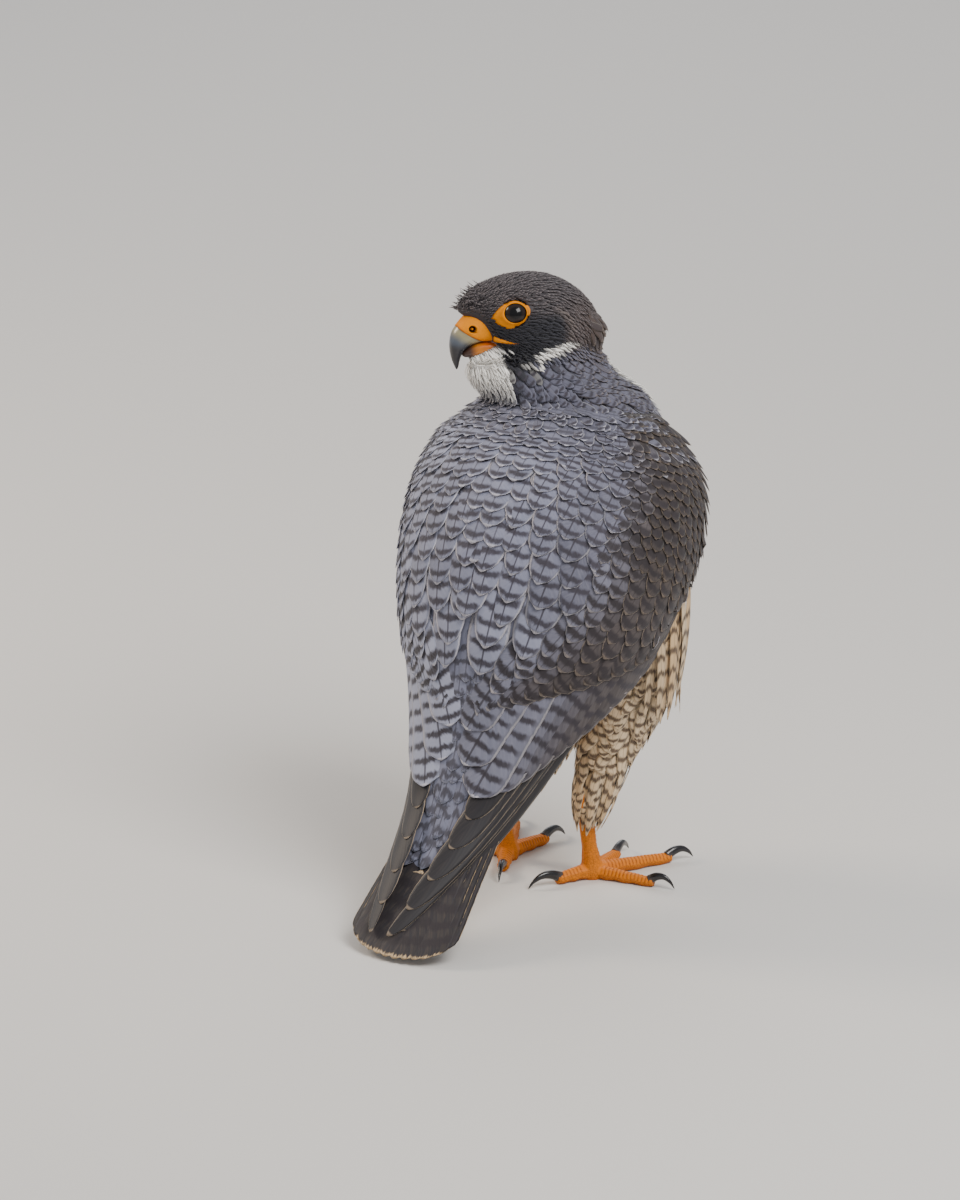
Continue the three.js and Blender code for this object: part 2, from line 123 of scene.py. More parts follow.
def turn_matrix(axis, degrees):
    c, s = math.cos(math.radians(degrees)), math.sin(math.radians(degrees))
    return np.array({"x": [[1, 0, 0], [0, c, -s], [0, s, c]], "y": [[c, 0, s], [0, 1, 0], [-s, 0, c]],
                     "z": [[c, -s, 0], [s, c, 0], [0, 0, 1]]}[axis])


EYE = np.array([1.5, 16.8, -0.5])
EYE_RADIUS = 7.6
HEAD_TURNED = turn_matrix("z", 46) @ turn_matrix("x", 9) @ turn_matrix("y", 1)


def unshifted(s, n, l):
    """Places along the body line before the whole is moved to where its solids stand."""
    slope = np.radians(INCLINE(s))
    forward = np.interp(s, LINE_S, LINE_FORWARD)
    height = np.interp(s, LINE_S, LINE_HEIGHT)
    return np.stack(np.broadcast_arrays(l, n * np.sin(slope) - forward, height + n * np.cos(slope)), -1)


# The head's zero lies off the top of the body line, and the left eye's solid says where all of it stands.
NECK_END = 372
HEAD_UNSHIFTED = unshifted(NECK_END, 0, 0) + np.array([31.4, 25.4, 43])
EYE_CENTRE = sum(np.array(corner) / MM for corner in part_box("eye_left")) / 2
SHIFT = EYE_CENTRE - (HEAD_UNSHIFTED + HEAD_TURNED @ EYE)
HEAD_ZERO = HEAD_UNSHIFTED + SHIFT


def place(s, n, l):
    """A place of the body in the scene."""
    return unshifted(s, n, l) + SHIFT


def on_head(p):
    """A place given in the head's frame, in the scene."""
    return np.asarray(p, float) @ HEAD_TURNED.T + HEAD_ZERO


def in_head(p):
    """A place in the scene, in the head's frame: forward, to its left and up."""
    return (p - HEAD_ZERO) @ HEAD_TURNED


def body_place(p):
    """s along the body line, the angle round it and the height over it, for points of the body."""
    q = p - SHIFT
    gap = (q[:, 1:2] + LINE_FORWARD[None]) ** 2 + (q[:, 2:3] - LINE_HEIGHT[None]) ** 2
    near = gap.argmin(1)
    s = LINE_S[near].astype(float)
    slope = np.radians(INCLINE(s))
    n = (q[:, 1] + LINE_FORWARD[near]) * np.sin(slope) + (q[:, 2] - LINE_HEIGHT[near]) * np.cos(slope)
    return s, np.degrees(np.arctan2(n, q[:, 0])), n


def from_the_side(angle):
    """An angle round the body, counted from the nearer side: 90 at the back, -90 at the belly."""
    return np.where(np.abs(angle) > 90, np.sign(angle) * (180 - np.abs(angle)), angle)


def hind_swing(s):
    """How far the folded wings' tips swing to the left."""
    return 4 * np.maximum(0, 1 - s / WING_START) ** 2


def cloak(s, angle):
    """The outer surface over the folded wings."""
    a = np.radians(angle)
    depth = np.where(np.sin(a) > 0, CLOAK_BACK(s), TRUNK_BELLY(s) + CLOAK_OVER_BELLY)
    return place(s, depth * np.sin(a), CLOAK_WIDTH(s) * np.cos(a) + hind_swing(s))


def cloak_normal(s, angle):
    """The cloak's outward directions."""
    along = cloak(s + 1, angle) - cloak(s - 1, angle)
    around = cloak(s, angle + 1) - cloak(s, angle - 1)
    return unit(np.cross(around, along))


def mirrored(angle, side):
    """An angle round the left of the body, for either side."""
    return angle if side > 0 else 180 - angle


# Colours


def srgb(r, g, b):
    c = np.array([r, g, b]) / 255
    return np.where(c <= 0.04045, c / 12.92, ((c + 0.055) / 1.055) ** 2.4)


SLATE = srgb(126, 128, 147)
SLATE_DARK = srgb(98, 98, 113)
SLATE_PALE = srgb(158, 161, 181)
BROWN = srgb(66, 58, 54)
BAR = srgb(60, 56, 64)
BAR_DARK = srgb(48, 43, 46)
EDGE_PALE = srgb(206, 203, 213)
EDGE_BUFF = srgb(146, 130, 116)
FLIGHT = srgb(42, 40, 43)
FLIGHT_EDGE = srgb(190, 170, 148)
TAIL_GROUND = srgb(50, 47, 51)
TAIL_TIP = srgb(214, 184, 142)
HOOD = srgb(58, 54, 58)
HOOD_TIP = srgb(124, 115, 116)
NAPE = srgb(76, 64, 60)
CHEEK_BACK = srgb(112, 100, 94)
WHITE = srgb(250, 247, 241)
CHEEK = srgb(47, 47, 53)
CREAM = srgb(222, 198, 164)
BUFF = srgb(204, 172, 130)
UNDER_BAR = srgb(84, 68, 56)


# Meshes


def finish_mesh(name, vertices, faces, material, replaces=()):
    """A smooth-shaded piece of the object from vertices in millimetres. faces is a list of index arrays."""
    mesh = bpy.data.meshes.new(name)
    vertices = np.asarray(vertices, float).reshape(-1, 3)
    mesh.vertices.add(len(vertices))
    mesh.vertices.foreach_set("co", (vertices * MM).ravel())
    sizes = np.concatenate([np.full(len(f), f.shape[1]) for f in faces])
    corners = np.concatenate([f.ravel() for f in faces])
    mesh.loops.add(len(corners))
    mesh.loops.foreach_set("vertex_index", corners)
    mesh.polygons.add(len(sizes))
    mesh.polygons.foreach_set("loop_start", np.concatenate([[0], np.cumsum(sizes)[:-1]]))
    mesh.polygons.foreach_set("loop_total", sizes)
    mesh.polygons.foreach_set("use_smooth", np.ones(len(sizes), bool))
    mesh.update(calc_edges=True)
    mesh.validate()
    mesh.materials.append(material)
    piece = bpy.data.objects.new(name, mesh)
    bpy.context.scene.collection.objects.link(piece)
    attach(piece, "root")
    if replaces:
        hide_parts(*replaces)
    return piece


def read(collection, key, size, kind=float):
    """One value of every item of a mesh's collection, size numbers in each."""
    values = np.empty(len(collection) * size, kind)
    collection.foreach_get(key, values)
    return values.reshape(-1, size)


def set_uv(mesh, name, per_vertex):
    corners = read(mesh.loops, "vertex_index", 1, np.int32)[:, 0]
    places = np.asarray(per_vertex, np.float32)[corners]
    mesh.uv_layers.new(name=name).data.foreach_set("uv", places.ravel())


def set_colour(mesh, name, per_vertex):
    rgba = np.concatenate([per_vertex, np.ones((len(per_vertex), 1))], 1).astype(np.float32)
    mesh.attributes.new(name, "FLOAT_COLOR", "POINT").data.foreach_set("color", rgba.ravel())


def set_number(mesh, name, per_vertex):
    values = np.asarray(per_vertex, np.float32)
    mesh.attributes.new(name, "FLOAT", "POINT").data.foreach_set("value", values)


def with_next(values):
    """A ring's values and, for each, the next one."""
    return values, np.roll(values, -1)


def grid_faces(rows, columns, wrap=False):
    """Quads over a grid of points, rows by columns; wrap closes each row."""
    i, j = np.meshgrid(np.arange(rows - 1), np.arange(columns if wrap else columns - 1), indexing="ij")
    a = (i * columns + j).ravel()
    b = (i * columns + (j + 1) % columns).ravel()
    return np.stack([a, b, b + columns, a + columns], 1)


def closed_tube(rings, around):
    """Faces of a tube over (ring, point) vertices, closed by a middle vertex appended for each end."""
    first, last = rings * around, rings * around + 1
    j, k = with_next(np.arange(around))
    low = (rings - 1) * around
    return [grid_faces(rings, around, wrap=True), np.stack([np.full(around, first), k, j], 1),
            np.stack([np.full(around, last), low + j, low + k], 1)]


def ended(grid):
    """A (ring, point, 3) grid as vertices, with a middle for each end."""
    return np.concatenate([grid.reshape(-1, 3), grid[:1].mean(1), grid[-1:].mean(1)])


def tube_piece(name, grid, colour, end, material, replaces, outward=True):
    """A piece from a (ring, point, 3) grid, with a colour for each point and one for its ends."""
    faces = closed_tube(*grid.shape[:2])
    if not outward:
        faces = [f[:, ::-1] for f in faces]
    piece = finish_mesh(name, ended(grid), faces, material, [replaces])
    colour = np.broadcast_to(colour, grid.shape).reshape(-1, 3)
    set_colour(piece.data, "ground", np.concatenate([colour, np.tile(end, (2, 1))]))


# Finishes


def worked(operation):
    """A method of Signal that puts in a node for one sum."""
    return lambda self, other=0.0: self.shader.math(operation, self, other)


class Signal:
    """A number that a node gives out, so that sums with it are written plainly."""

    def __init__(self, shader, socket):
        self.shader = shader
        self.socket = socket

    def __rsub__(self, other):
        return self.shader.math("SUBTRACT", other, self)

    __add__ = worked("ADD")
    __sub__ = worked("SUBTRACT")
    __mul__ = worked("MULTIPLY")
    __truediv__ = worked("DIVIDE")
    __abs__ = worked("ABSOLUTE")
    fraction = worked("FRACT")
    greater = worked("MAXIMUM")


class Shader:
    """Short words for building one material's nodes."""

    def __init__(self, name, roughness, **sockets):
        self.material = bpy.data.materials.new(name)
        self.material.use_nodes = True
        self.tree = self.material.node_tree
        self.surface = self.tree.nodes["Principled BSDF"]
        self.surface.inputs["Roughness"].default_value = roughness
        for socket, value in sockets.items():
            self.surface.inputs[socket.replace("_", " ")].default_value = value

    def node(self, kind, inputs=(), **settings):
        node = self.tree.nodes.new(kind)
        for key, value in settings.items():
            setattr(node, key, value)
        for key, value in dict(inputs).items():
            self.feed(node.inputs[key], value)
        return node

    def feed(self, socket, value):
        if isinstance(value, Signal):
            value = value.socket
        if isinstance(value, bpy.types.NodeSocket):
            self.tree.links.new(value, socket)
        elif socket.type == "RGBA" and not np.isscalar(value):
            socket.default_value = (*value, 1)
        else:
            socket.default_value = value

    def math(self, operation, a, b=0.0):
        return Signal(self, self.node("ShaderNodeMath", {0: a, 1: b}, operation=operation).outputs[0])

    def step(self, low, high, value):
        """Rises smoothly from 0 at low to 1 at high; low may be the greater."""
        start, end = (0.0, 1.0) if low < high else (1.0, 0.0)
        ends = {"Value": value, "From Min": min(low, high), "From Max": max(low, high), "To Min": start,
                "To Max": end}
        node = self.node("ShaderNodeMapRange", ends, interpolation_type="SMOOTHSTEP")
        return Signal(self, node.outputs["Result"])

    def mix(self, factor, a, b, blend="MIX"):
        node = self.node("ShaderNodeMix", data_type="RGBA", blend_type=blend)
        for key, value in ((0, factor), (6, a), (7, b)):
            self.feed(node.inputs[key], value)
        return node.outputs[2]

    def vector(self, x, y, z):
        return self.node("ShaderNodeCombineXYZ", {0: x, 1: y, 2: z}).outputs[0]

    def number(self, name):
        return Signal(self, self.node("ShaderNodeAttribute", attribute_name=name).outputs["Fac"])

    def tint(self, name):
        return self.node("ShaderNodeAttribute", attribute_name=name).outputs["Color"]

    def noise(self, scale, detail, vector=None, **inputs):
        """Noise over a vector, or else over the place on the object."""
        if vector is None:
            vector = self.position()
        values = {"Scale": scale, "Detail": detail, "Vector": vector, **inputs}
        return Signal(self, self.node("ShaderNodeTexNoise", values).outputs["Fac"])

    def position(self):
        return self.node("ShaderNodeTexCoord").outputs["Object"]

    def finish(self, colour, light, relief=None, strength=0.0, distance=0.0):
        """Sets the surface to a colour times a light, with a relief distance metres deep."""
        grey = self.node("ShaderNodeCombineColor", {0: light, 1: light, 2: light}).outputs[0]
        self.feed(self.surface.inputs["Base Color"], self.mix(1.0, colour, grey, "MULTIPLY"))
        if relief:
            values = {"Height": relief, "Strength": strength, "Distance": distance}
            self.feed(self.surface.inputs["Normal"], self.node("ShaderNodeBump", values).outputs["Normal"])
        return self.material


def plumage(name, period=0.0, last=0.2, bar_width=0.42, bar_reach=1.2, bow=0.03, fringe=0.1, tip=0.06,
            shaft=0.5, streak=0.25, band=0.0, roughness=0.72, rough_bars=0.10, torn=0.3):
    """A vane's finish: bars across it, a pale fringe, a dark shaft and fine streaks along its barbs.

    Bars stand period apart as parts of the vane's length, the last one's middle is last from the tip, and
    they reach bar_reach of the way out. Band is the length of a plain pale band at the tip. Rough_bars is
    how uneven the bars are, and torn how uneven the rim of the tip is.
    """
    s = Shader(name, roughness, Sheen_Weight=0.1, Sheen_Roughness=0.5, Specular_IOR_Level=0.25)
    uv = s.node("ShaderNodeSeparateXYZ", {0: s.node("ShaderNodeUVMap", uv_map="Vane").outputs[0]})
    along = Signal(s, uv.outputs["Y"])
    signed = Signal(s, uv.outputs["X"]) * 2.0 - 1.0
    out = abs(signed)
    tone = s.number("tone")
    ground, bar_colour, edge = s.tint("ground"), s.tint("bar"), s.tint("edge")
    fine = s.noise(1.0, 2.0, s.vector(signed * 1.6, (along - out * 0.22) * 30.0, tone * 50.0))
    blotch = s.noise(2.2, 2.0, s.vector(signed, along * 3.0, tone * 31.0))
    colour = s.mix((fine - 0.38) * streak, ground, edge)
    if period:
        waved = along + out * out * bow + (blotch - 0.5) * rough_bars + (fine - 0.5) * 0.035
        phase = (1.0 - last - waved) / period + 0.5 + (tone - 0.5) * 0.3
        bar = s.step(bar_width / 2 + 0.13, bar_width / 2 - 0.11, abs(phase.fraction() - 0.5))
        bar = bar * s.step(bar_reach, bar_reach - 0.4, out) * s.step(0.11, 0.21, along)
        bar = bar * s.step(0.99 - band, 0.95 - band, along) * (fine * 0.3 + 0.78)
        colour = s.mix(bar, colour, bar_colour)
    colour = s.mix(s.step(0.07, 0.03, out) * shaft, colour, bar_colour)
    ragged = (fine - 0.5) * 0.10
    side_rim = s.step(1.0 - fringe * 1.5, 1.0 - fringe * 0.5, out + ragged)
    tip_rim = s.step(1.0 - tip * 1.5, 1.0 - tip * 0.5, along + ragged * torn)
    colour = s.mix(side_rim.greater(tip_rim) * 0.95, colour, edge)
    light = (tone - 0.5) * 0.2 + (blotch * 0.28 + 0.86)
    return s.finish(colour, light, fine, 0.35, 0.0004)


def scaly_skin_finish():
    """Plain skin under the feathers, and small round scales between the feet's scutes."""
    s = Shader("skin", 0.55, Specular_IOR_Level=0.35)
    cells = s.node("ShaderNodeTexVoronoi", {"Scale": 700.0, "Vector": s.position()},
                   feature="DISTANCE_TO_EDGE")
    scale = s.step(0.0, 0.16, cells.outputs["Distance"]).greater(s.number("plate"))
    relief = scale * 0.8 + s.noise(1100.0, 3.0) * 0.3
    return s.finish(s.tint("ground"), relief * 0.36 + 0.62, relief, 0.5, 0.0005)


def bare_skin_finish():
    """Bare yellow skin with fine warts."""
    s = Shader("bare_skin", 0.6, Specular_IOR_Level=0.08)
    fine = s.noise(1500.0, 3.0)
    light = fine * 0.22 + s.noise(260.0, 2.0) * 0.2 + 0.80
    return s.finish(s.tint("ground"), light, fine, 0.3, 0.0003)


def horn_finish(name, roughness):
    """Horn with fine growth streaks along it."""
    s = Shader(name, roughness, Specular_IOR_Level=0.5, Coat_Weight=0.25, Coat_Roughness=0.2)
    streaks = s.noise(420.0, 3.0, Distortion=0.6)
    return s.finish(s.tint("ground"), streaks * 0.36 + 0.82, streaks, 0.15, 0.0002)


def eye_finish():
    """A dark brown iris round a black pupil, under a wet clear surface."""
    s = Shader("eye", 0.2, Specular_IOR_Level=0.2, Coat_Weight=0.7, Coat_Roughness=0.03, Coat_IOR=1.34)
    return s.finish(s.tint("ground"), s.noise(900.0, 2.0) * 0.8 + 0.6)


# Feathers as vanes

# For each outline, where its taper starts as a part of the length, how blunt the taper is, and how wide the
# vane is at the root.
OUTLINES = {"round": (0.52, 2.05, 0.5), "blunt": (0.9, 2.4, 0.6), "pointed": (0.15, 1.7, 0.5),
            "long": (0.84, 2.1, 0.55), "lance": (0.0, 1.5, 0.35)}
LOWEST_FEATHER = 0.15


def lay(name, finish, paths, normals, widths, rows, columns, rise, roots, slot, ground, edge, bar=BAR,
        sides=75.0, shape="round", patch=0.003, replaces=(), thick=0.35, ruffle=0.0, tilt=0.0):
    """Feathers as thin closed vanes, joined to one piece with a plumage of the settings in finish.

    Rows are the steps along each vane, 0 to 1. Paths is (feather, row, 3), normals the same or one for each
    feather, rise each row's height over its path, and widths the half widths. Sides is the radius that the
    vanes curl to across, tilt how much one side stands over the other, ruffle how unevenly they lie, and
    thick their thickness. Roots are places on the OFBake map, and patch each vane's size there.
    """
    count = len(paths)
    u = np.linspace(-1, 1, columns)
    start, power, root = OUTLINES[shape]
    taper = np.maximum(0, 1 - (np.clip((rows - start) / (1 - start), 0, 1) * 0.985) ** power) ** (1 / power)
    outline = (root + (1 - root) * np.sin(np.minimum(1, rows / 0.45) * math.pi / 2)) * taper
    lengths = np.linalg.norm(np.diff(paths, axis=1), axis=2).sum(1)
    ahead = unit(np.gradient(paths, axis=1))
    across = unit(np.cross(normals if normals.ndim == 3 else normals[:, None], ahead))
    up = np.cross(ahead, across)
    half = widths[:, None] * outline
    y = half[:, :, None] * u
    end = np.minimum(half[:, -1], lengths * 0.2)[:, None, None] * (rows ** 8)[None, :, None]
    x = -end * (1 - np.sqrt(1 - 0.94 * u * u))
    rise = np.broadcast_to(rise, half.shape)
    if ruffle:
        rise = rise + rng.normal(0, ruffle, (count, 1)) * rows
        y = y * (1 + rng.normal(0, 0.05, (count, 1, 1)))
        y = y + rng.normal(0, 0.04, (count, 1, 1)) * widths[:, None, None]
    z = rise[:, :, None] - y * y / (2 * sides) - 0.10 * half[:, :, None] * u * u + tilt * y
    top = paths[:, :, None] + ahead[:, :, None] * x[..., None] + across[:, :, None] * y[..., None]
    top = top + up[:, :, None] * z[..., None]
    depth = thick * np.sqrt(1 - 0.8 * u[1:-1] ** 2)
    under = top[:, 1:-1, 1:-1] - up[:, 1:-1, None] * depth[:, None]

    # Upper and lower face share the vertices of the rim.
    tops = len(rows) * columns
    per_feather = tops + under.shape[1] * under.shape[2]
    top_index = np.arange(tops).reshape(len(rows), columns)
    under_index = top_index.copy()
    under_index[1:-1, 1:-1] = np.arange(tops, per_feather).reshape(under.shape[1:3])
    quads = np.concatenate([
        np.stack([g[:-1, :-1], g[:-1, 1:], g[1:, 1:], g[1:, :-1]], -1).reshape(-1, 4)[:, ::way]
        for g, way in ((top_index, -1), (under_index, 1))])
    faces = (quads[None] + per_feather * np.arange(count)[:, None, None]).reshape(-1, 4)
    vertices = np.concatenate([top.reshape(count, -1, 3), under.reshape(count, -1, 3)], 1).reshape(-1, 3)
    vertices[:, 2] = np.maximum(vertices[:, 2], LOWEST_FEATHER)
    mesh = finish_mesh(name, vertices, [faces], plumage(name, **finish), replaces).data

    vane = np.stack(np.meshgrid((u + 1) / 2, rows, indexing="xy"), -1)
    vane = np.concatenate([vane.reshape(-1, 2), vane[1:-1, 1:-1].reshape(-1, 2)])
    set_uv(mesh, "Vane", np.tile(vane, (count, 1)))
    centre = np.clip(roots[:, None] * 0.98 + 0.01, patch / 2, 1 - patch / 2)
    set_uv(mesh, "OFBake", (centre + (vane[None] - 0.5) * patch).reshape(-1, 2))
    mesh.uv_layers.active = mesh.uv_layers["OFBake"]
    for key, value in (("ground", ground), ("bar", bar), ("edge", edge)):
        set_colour(mesh, key, np.repeat(np.broadcast_to(value, (count, 3)), per_feather, axis=0))
    set_number(mesh, "tone", np.repeat(rng.random(count), per_feather))


def rows_to_tip(count, lean=1.35):
    """Steps from root to tip, closer together near the tip."""
    return 1 - (1 - np.linspace(0, 1, count)) ** lean


SMALL_ROWS = rows_to_tip(6)
BACK_ROWS = rows_to_tip(9)
PLUME_ROWS = rows_to_tip(12)
LONG_ROWS = rows_to_tip(19, 1.5)


def from_to(start, end, t):
    """Values from start to end at parts t of the way: (value, part)."""
    return start[:, None] + (end - start)[:, None] * t


def on_cloak(s_root, a_root, s_tip, a_tip, rows, ease=1.0):
    """Paths along the cloak from roots to tips, with their normals."""
    s, a = from_to(s_root, s_tip, rows[None]), from_to(a_root, a_tip, rows[None] ** ease)
    return cloak(s, a), cloak_normal(s, a)


# The skin and the feet

FLESH = ["trunk", "neck", "head"] + [f"{part}_{word}" for _, word in SIDES
                                      for part in ("shoulder", "wing", "thigh")]
FEET = [f"{part}_{word}" for _, word in SIDES for part in ("tarsus", "toe_1", "toe_2", "toe_3", "toe_4")]
SKIN_VOXEL = 1.7
FOOT_VOXEL = 0.55
SKIN_SMOOTHING = 4
FOOT_SMOOTHING = 3
HEEL_Z = 50
SHANK_Z = 13
DEPTH_ON_BODY = 3.2
DEPTH_ON_HEAD = 1.3

# Each toe's number, length, thickness, turn from straight ahead and claw length; then along each claw, as
# parts of its length, its height over the ground and its thickness as a part of the toe's.
TOES = [(3, 52, 4.6, 8, 16), (2, 34, 4.8, -28, 18), (4, 39, 4.2, 62, 14), (1, 24, 4.8, 186, 20)]
FOOT_TURN = 20
FOOT_OUT = 29.0
FOOT_BACK = 186
CLAW_HEIGHT = curve([[0, 4.2], [0.28, 6.6], [0.58, 6.9], [0.84, 4.4], [1, 0.9]])
CLAW_PART = curve([[0, 0.66], [0.28, 0.56], [0.58, 0.41], [0.84, 0.23], [1, 0.05]])
CLAW_IN_TOE = 2.5
CLAW_SHORTER = 1.0
TOE_SCUTE = 2.3
SHANK_SCUTE = 2.8
FURROW_DEPTH = 0.38
FOOT_YELLOW = srgb(218, 122, 0)
# Painted shade on the feet: the colour of the furrows between the scutes and of the toes next to the floor.
FOOT_PAINTED_SHADE = srgb(158, 72, 0)
CLAW_BLACK = srgb(26, 24, 27)
CLAW_BASE = srgb(74, 68, 66)


def remeshed(names, voxel, smoothing):
    """The named solids joined to one closed surface: vertices in millimetres, quads and triangles."""
    vertices, faces, base = [], [], 0
    for name in names:
        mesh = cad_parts[name].data
        mesh.calc_loop_triangles()
        vertices.append(read(mesh.vertices, "co", 3))
        faces.append(read(mesh.loop_triangles, "vertices", 3, np.int32) + base)
        base += len(vertices[-1])
    mesh = bpy.data.meshes.new("joined")
    mesh.from_pydata(np.concatenate(vertices).tolist(), [], np.concatenate(faces).tolist())
    joined = bpy.data.objects.new("joined", mesh)
    bpy.context.scene.collection.objects.link(joined)
    remesh = joined.modifiers.new("remesh", "REMESH")
    remesh.mode = "VOXEL"
    remesh.voxel_size = voxel * MM
    relax = joined.modifiers.new("relax", "SMOOTH")
    relax.factor = 0.5
    relax.iterations = smoothing
    result = bpy.data.meshes.new_from_object(joined.evaluated_get(bpy.context.evaluated_depsgraph_get()))
    bpy.data.objects.remove(joined)
    polygons = [tuple(p.vertices) for p in result.polygons]
    quads, triangles = (np.array([p for p in polygons if len(p) == n], int).reshape(-1, n) for n in (4, 3))
    return read(result.vertices, "co", 3) / MM, quads, triangles


def corners_of(vertices, quads):
    return (vertices[quads[:, k]] for k in range(4))


def vertex_normals(vertices, quads):
    a, b, c, d = corners_of(vertices, quads)
    face = np.cross(c - a, d - b)
    normals = np.zeros_like(vertices)
    for k in range(4):
        np.add.at(normals, quads[:, k], face)
    return unit(normals)


def foot_middle(side):
    return np.array([side * FOOT_OUT, SHIFT[1] - FOOT_BACK, 0])


def toe_way(turn, side):
    a = math.radians((turn + FOOT_TURN) * side)
    return np.array([math.sin(a), -math.cos(a), 0])


def scutes(points, normals):
    """How deep in a furrow between two scutes each point of the feet lies, 0 to 1."""
    deep = np.zeros(len(points))
    for side, _ in SIDES:
        away = points - foot_middle(side)
        mine = np.sign(points[:, 0]) == side
        best = np.full(len(points), 1e9)
        along = np.zeros(len(points))
        for _, _, _, turn, _ in TOES:
            way = toe_way(turn, side)
            ahead = away @ way
            gap = np.abs(away @ np.cross([0, 0, 1], way)) + 20 * (ahead < 4)
            along = np.where(gap < best, ahead, along)
            best = np.minimum(best, gap)
        phase = np.abs((along / TOE_SCUTE) % 1 - 0.5) * 2
        on_toe = smooth(0.62, 0.95, phase) * smooth(-0.1, 0.35, normals[:, 2]) * smooth(6, 9, along)
        phase = np.abs((points[:, 2] / SHANK_SCUTE) % 1 - 0.5) * 2
        on_shank = smooth(0.66, 0.95, phase) * smooth(0.1, 0.5, -normals[:, 1])
        deep = np.where(mine, np.where(points[:, 2] < SHANK_Z, on_toe, on_shank), deep)
    return deep


def head_distance(p):
    return np.linalg.norm(in_head(p), axis=1)


def coat_depth(p):
    """How far the skin lies under the feathers' outline."""
    on_the_head = smooth(-30, -18, in_head(p)[:, 2]) * smooth(75, 55, head_distance(p))
    depth = mix([DEPTH_ON_BODY], [DEPTH_ON_HEAD], on_the_head)[:, 0]
    return depth * (0.35 + 0.65 * smooth(HEEL_Z - 2, HEEL_Z + 50, p[:, 2]))


def on_thigh(p):
    """True for points on a thigh rather than on the trunk."""
    x, y, z = p.T
    legs = np.zeros(len(p), bool)
    behind = np.interp(z, [40, 66, 106, 150], [181, 190, 204, 200])
    radius = np.interp(z, [40, 66, 106, 128, 150], [7, 14, 28, 30, 24]) + 2
    for side, _ in SIDES:
        middle = side * np.interp(z, [40, 66, 106, 150], [29, 31, 37, 38])
        legs |= (np.hypot(x - middle, y - (SHIFT[1] - behind)) < radius) & (z < 150)
    return legs


def at_back(p, n):
    """1 on the back of the neck and 0 at its front; the back reaches further round on the right side."""
    facing = np.degrees(np.arctan2(n, np.abs(p[:, 0])))
    return np.where(p[:, 0] < 0, smooth(-36, -18, facing), smooth(14, 34, facing))


def hood_colour(p):
    """The head's own dark colour, with how white each point is, and how far below the hood's rear edge."""
    x, _, z = in_head(p).T
    # The throat's white: under the gape, ahead of the dark moustache; then a white wedge behind the cheek.
    moustache_front = np.interp(z, [-46, -38, -33, -26, -19, -14, -10], [5, 7.5, 8.5, 9.8, 12, 18, 30])
    throat = smooth(-0.8, 0.8, x - moustache_front) * smooth(-14, -17, z)
    rear_line = np.interp(x, [-38, -31, -22.6, -12, -3, 4, 10], [-23, -24.5, -28.4, -31, -33.4, -34.4, -36])
    upper_line = np.interp(x, [-34, -30, -23, -12.5, -3.6, 2], [-21, -19.5, -20, -24.2, -30.4, -35])
    wedge = smooth(-1, 1, z - rear_line - 1.6) * smooth(1, -1, z - upper_line)
    wedge = wedge * smooth(3, -1, x) * smooth(-36, -33, x)
    dark = mix(HOOD, NAPE, smooth(-22, -40, x) * smooth(14, -6, z))
    dark = mix(dark, CHEEK, smooth(2, -7, z) * smooth(-29, -22, x))
    ear = np.interp(z, [-19, -16.5, -11.9, -7.1, -2.7, 2], [-29, -31, -32.4, -31, -27.6, -23])
    band = np.exp(-((x - ear - 0.6) / np.where(x > ear, 3.2, 1.3)) ** 2)
    band = band * smooth(-20, -17, z) * smooth(3, -1, z)
    dark = mix(dark, CHEEK_BACK, band * 0.75)
    return dark, np.clip(throat + wedge, 0, 1), smooth(1.5, -1.5, z - rear_line) * (1 - throat)


NECK_RISE = (place(BODY_TOP + 16, 0, 0) - place(BODY_TOP, 0, 0)) / 16


def body_colour(p):
    """Ground colour, s along the body line and how much of it is the head's, for points of the body."""
    s, angle, n = body_place(p)
    dark, white, below = hood_colour(p)
    over_body = (p - place(BODY_TOP, 0, 0)) @ NECK_RISE
    head = smooth(95, 80, head_distance(p)) * smooth(-8, 6, over_body)
    slate = at_back(p, n)
    back = mix(WHITE, SLATE_DARK, slate)
    belly = mix(CREAM, WHITE, smooth(275, 352, s))
    belly = mix(belly, BUFF, smooth(220, 120, s) * 0.6)
    body = np.where((s > 325)[:, None], mix(belly, back, np.maximum(smooth(325, 352, s), slate)), belly)
    facing = np.degrees(np.arctan2(n, p[:, 0]))
    body = mix(body, SLATE, smooth(15, 35, facing) * smooth(165, 145, facing) * smooth(260, 240, s))
    turned = from_the_side(angle)
    winged = smooth(-9, -2, turned - WING_LOWER(s)) * smooth(352, 342, s) * smooth(112, 130, s)
    body = mix(body, BROWN, winged * smooth(40, 25, turned))
    return mix(body, mix(mix(dark, back, below), WHITE, white), head), s, head


skin_points, skin_quads, skin_triangles = remeshed(FLESH, SKIN_VOXEL, SKIN_SMOOTHING)
skin_points = skin_points - vertex_normals(skin_points, skin_quads) * coat_depth(skin_points)[:, None]
skin_normals = vertex_normals(skin_points, skin_quads)
SKIN = BVHTree.FromPolygons([Vector(v) for v in skin_points], [list(q) for q in skin_quads])


